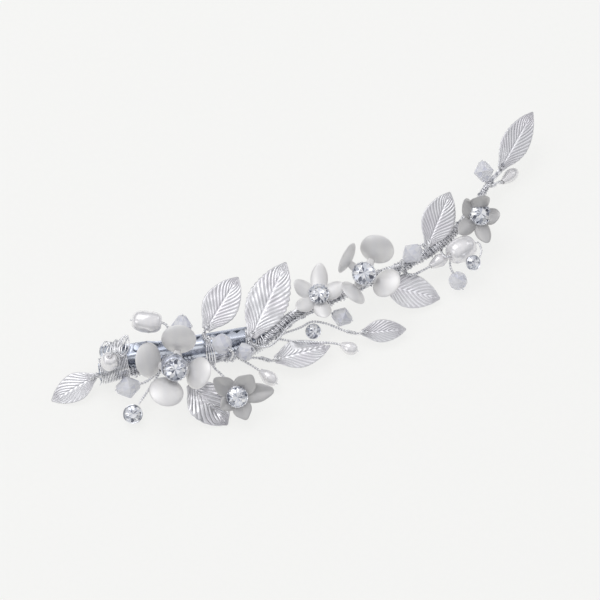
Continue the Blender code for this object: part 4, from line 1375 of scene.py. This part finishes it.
def make_pearl(context, parts, row):
    """Drilled freshwater pearl, a little uneven, with dimpled ends."""
    name, kind, centre, axis, length, radius = row
    wobble = context.scene.hair_clip_beads.wobble / MM
    half = length / 2
    curve = smooth_path([(r * radius, z * half, 0.0) for r, z in PEARL_OUTLINES[kind]], 4)
    profile = [(p.x, p.y) for p in curve] + [(BORE * 0.8, -half * 0.9), (BORE * 0.8, half * 0.9)]
    verts = []
    for r, z in profile + profile[:1]:
        for x, y, _ in circle(PEARL_STEPS, r, z):
            where = Vector((x, y, z))
            bump = noise.noise(where * 0.5 + Vector(centre))
            bump += 0.35 * noise.noise(where * 1.1 + Vector(centre))
            swell = 1.0 + wobble * bump / radius if r > BORE else 1.0
            verts.append((where.x * swell, where.y * swell, z))
    faces = sheet_faces(len(profile) + 1, PEARL_STEPS, True)
    mesh = plain_mesh(name, verts, faces, seat(centre, axis, across_bore(axis)))
    finish_piece(name + "_nacre", outward(mesh, 60.0), parts.pearl, name)


def make_crystal(_, parts, row):
    """Drilled cut bead: staggered rows of facets from bore to waist to bore."""
    name, kind, centre, axis, length, radius = row
    sides = CRYSTAL_SIDES
    inside = BORE / radius
    rings = CRYSTAL_RINGS[kind] + [(inside, -0.96, 0.0), (inside, 0.96, 0.0)]
    verts = []
    for reach, height, shift in rings:
        verts += circle(sides, reach * radius, height * length / 2, shift)
    faces = []
    for i, (_, _, shift) in enumerate(rings):
        following = (i + 1) % len(rings)
        next_shift = rings[following][2]
        for k in range(sides):
            a, b = i * sides + k, i * sides + (k + 1) % sides
            c, d = following * sides + k, following * sides + (k + 1) % sides
            if shift == next_shift:
                faces.append((a, b, d, c))
            elif shift < next_shift:
                faces += [(a, b, c), (b, d, c)]
            else:
                faces += [(a, d, c), (a, b, d)]
    matrix = seat(centre, axis, across_bore(axis))
    mesh = cut_mesh(name, verts, faces, matrix, len(name) + int(centre[0]))
    finish_piece(name + "_cut", mesh, parts.crystal, name)


def make_drop(_, parts, row):
    """Small brilliant in a deep rimmed cup."""
    name, centre, facing, radius = row
    matrix = seat(centre, facing)
    cup = turned_mesh(name, [(radius * reach, height) for reach, height in DROP_CUP], matrix)
    finish_piece(name + "_cup", cup, parts.setting, name)
    stone = matrix @ Matrix.Translation((0.0, 0.0, 0.55))
    mesh = brilliant(name + "_stone", radius * 0.84, 0.72, 1.0, stone, int(centre[0]) + 7)
    finish_piece(name + "_brilliant", mesh, parts.stone, name)


# ---------------------------------------------------------------- operators

class HAIRCLIP_OT_clip(bpy.types.Operator):
    """Round off the two clip arms and the hinge pin"""

    bl_idname = "hair_clip.clip"
    bl_label = "Clip arms and pin"

    def execute(self, context):
        """Build the pieces."""
        parts = finishes(context)
        refined("clip_front_arm", parts.steel, ARMS, 0.09)
        refined("clip_back_arm", parts.steel, SMOOTH_ARM, 0.09)
        refined("hinge_pin", parts.steel, ARMS, 0.06)
        return {"FINISHED"}


class HAIRCLIP_OT_spring(bpy.types.Operator):
    """Wind the torsion spring and its travelling leg"""

    bl_idname = "hair_clip.spring"
    bl_label = "Spring"

    def execute(self, context):
        """Build the pieces."""
        make_spring(finishes(context).steel)
        return {"FINISHED"}


class HAIRCLIP_OT_stem(bpy.types.Operator):
    """Lay up the stem's strands and coil fine wire on them"""

    bl_idname = "hair_clip.stem"
    bl_label = "Stem"

    def execute(self, context):
        """Build the piece."""
        make_stem(context, finishes(context))
        return {"FINISHED"}


class HAIRCLIP_OT_binding(bpy.types.Operator):
    """Lash the stem to the toothed arm"""

    bl_idname = "hair_clip.binding"
    bl_label = "Binding wire"

    def execute(self, context):
        """Build the piece."""
        make_binding(context, finishes(context))
        return {"FINISHED"}


class HAIRCLIP_OT_sprigs(bpy.types.Operator):
    """Twist the formed wires that carry leaves and beads"""

    bl_idname = "hair_clip.sprigs"
    bl_label = "Sprig wires"

    def execute(self, context):
        """Build the pieces."""
        make_sprigs(context, finishes(context))
        return {"FINISHED"}


class HAIRCLIP_OT_leaves(bpy.types.Operator):
    """Press the nine ribbed leaves"""

    bl_idname = "hair_clip.leaves"
    bl_label = "Leaves"

    def execute(self, context):
        """Build the pieces."""
        for row in LEAVES:
            make_leaf(context, finishes(context), row)
        return {"FINISHED"}


class HAIRCLIP_OT_flowers(bpy.types.Operator):
    """Make the five blossoms with their settings and stones"""

    bl_idname = "hair_clip.flowers"
    bl_label = "Flowers"

    def execute(self, context):
        """Build the pieces."""
        for row in FLOWERS:
            make_flower(context, finishes(context), row)
        return {"FINISHED"}


class HAIRCLIP_OT_beads(bpy.types.Operator):
    """Grow the pearls and cut the crystal beads"""

    bl_idname = "hair_clip.beads"
    bl_label = "Pearls and crystals"

    def execute(self, context):
        """Build the pieces."""
        for row in BEADS:
            make = make_pearl if row[1] in (PEARL, TEARDROP) else make_crystal
            make(context, finishes(context), row)
        return {"FINISHED"}


class HAIRCLIP_OT_drops(bpy.types.Operator):
    """Set the three small rhinestone drops"""

    bl_idname = "hair_clip.drops"
    bl_label = "Rhinestone drops"

    def execute(self, context):
        """Build the pieces."""
        for row in DROPS:
            make_drop(context, finishes(context), row)
        return {"FINISHED"}


class HAIRCLIP_OT_stage(bpy.types.Operator):
    """Lay the floor, hang the lights and set the camera"""

    bl_idname = "hair_clip.stage"
    bl_label = "Floor, lights and camera"

    def execute(self, context):
        """Build the stage."""
        look = context.scene.hair_clip_stage
        corners = [(x * FLOOR_REACH, y * FLOOR_REACH, 0.0)
                   for x, y in ((-1, -1), (1, -1), (1, 1), (-1, 1))]
        floor = new_object("floor", plain_mesh("floor", corners, [(0, 1, 2, 3)]))
        floor.data.materials.append(floor_paper(look.floor))
        for name, location, size, setting, share in SOFTBOXES:
            softbox(name, location, size, getattr(look, setting) * share)
        set_world(context.scene)
        set_camera(context.scene)
        context.scene.view_settings.view_transform = "Standard"
        return {"FINISHED"}


def softbox(name, location, size, power):
    """Square area light aimed at the middle of the object."""
    light = bpy.data.lights.new(name, "AREA")
    light.size = size
    light.energy = power
    obj = new_object(name, light)
    obj.location = location
    obj.rotation_euler = (-Vector(location)).to_track_quat("-Z", "Y").to_euler()


def set_world(scene):
    """Room that is bright overhead and greyer towards the walls, and pale where it is seen."""
    world = bpy.data.worlds.new("studio")
    world.use_nodes = True
    shading = Shading(world.node_tree)
    where = shading.node("ShaderNodeTexCoord").outputs["Generated"]
    height = shading.node("ShaderNodeSeparateXYZ", {0: where}).outputs[2]
    room = shading.mix(shading.spread(height, 0.1, 0.9), WALLS, CEILING)
    seen = shading.node("ShaderNodeLightPath").outputs["Is Camera Ray"]
    color = shading.mix(seen, room, tinted(PAPER))
    shading.tree.links.new(color, world.node_tree.nodes["Background"].inputs["Color"])
    scene.world = world


def set_camera(scene):
    """Long lens from the front, a little to the left and well above."""
    data = bpy.data.cameras.new("camera")
    data.lens = 200.0
    data.sensor_width = 36.0
    data.clip_start = 0.01
    camera = new_object("camera", data)
    camera.location = place(CAMERA_TARGET) + TOWARDS_CAMERA * CAMERA_DISTANCE
    camera.rotation_euler = (-TOWARDS_CAMERA).to_track_quat("-Z", "Y").to_euler()
    scene.camera = camera


class HAIRCLIP_PT_panel(bpy.types.Panel):
    """Sidebar panel with one button for each group of pieces"""

    bl_idname = "HAIRCLIP_PT_panel"
    bl_label = "Hair clip"
    bl_space_type = "VIEW_3D"
    bl_region_type = "UI"
    bl_category = "Hair clip"

    def draw(self, context):
        """List the settings and the operators."""
        for name in GROUPS:
            box = self.layout.box()
            settings = getattr(context.scene, name)
            for key in settings.__annotations__:
                box.prop(settings, key)
        for operator in OPERATORS:
            self.layout.operator(operator.bl_idname)


GROUPS = {
    "hair_clip_wires": HairClipWires,
    "hair_clip_leaves": HairClipLeaves,
    "hair_clip_flowers": HairClipFlowers,
    "hair_clip_beads": HairClipBeads,
    "hair_clip_stage": HairClipStage,
}
OPERATORS = [
    HAIRCLIP_OT_stage, HAIRCLIP_OT_clip, HAIRCLIP_OT_spring, HAIRCLIP_OT_stem, HAIRCLIP_OT_binding,
    HAIRCLIP_OT_sprigs, HAIRCLIP_OT_leaves, HAIRCLIP_OT_flowers, HAIRCLIP_OT_beads,
    HAIRCLIP_OT_drops,
]


def register():
    """Register the classes and put the settings on the scene."""
    for item in (*GROUPS.values(), *OPERATORS, HAIRCLIP_PT_panel):
        bpy.utils.register_class(item)
    for name, group in GROUPS.items():
        setattr(bpy.types.Scene, name, bpy.props.PointerProperty(type=group))


def unregister():
    """Take the settings off the scene and unregister the classes."""
    for name in GROUPS:
        delattr(bpy.types.Scene, name)
    for item in (HAIRCLIP_PT_panel, *OPERATORS[::-1], *GROUPS.values()):
        bpy.utils.unregister_class(item)


def main():
    """Build everything."""
    register()
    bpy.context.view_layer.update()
    for operator in OPERATORS:
        family, name = operator.bl_idname.split(".")
        getattr(getattr(bpy.ops, family), name)()


if __name__ == "__main__":
    main()
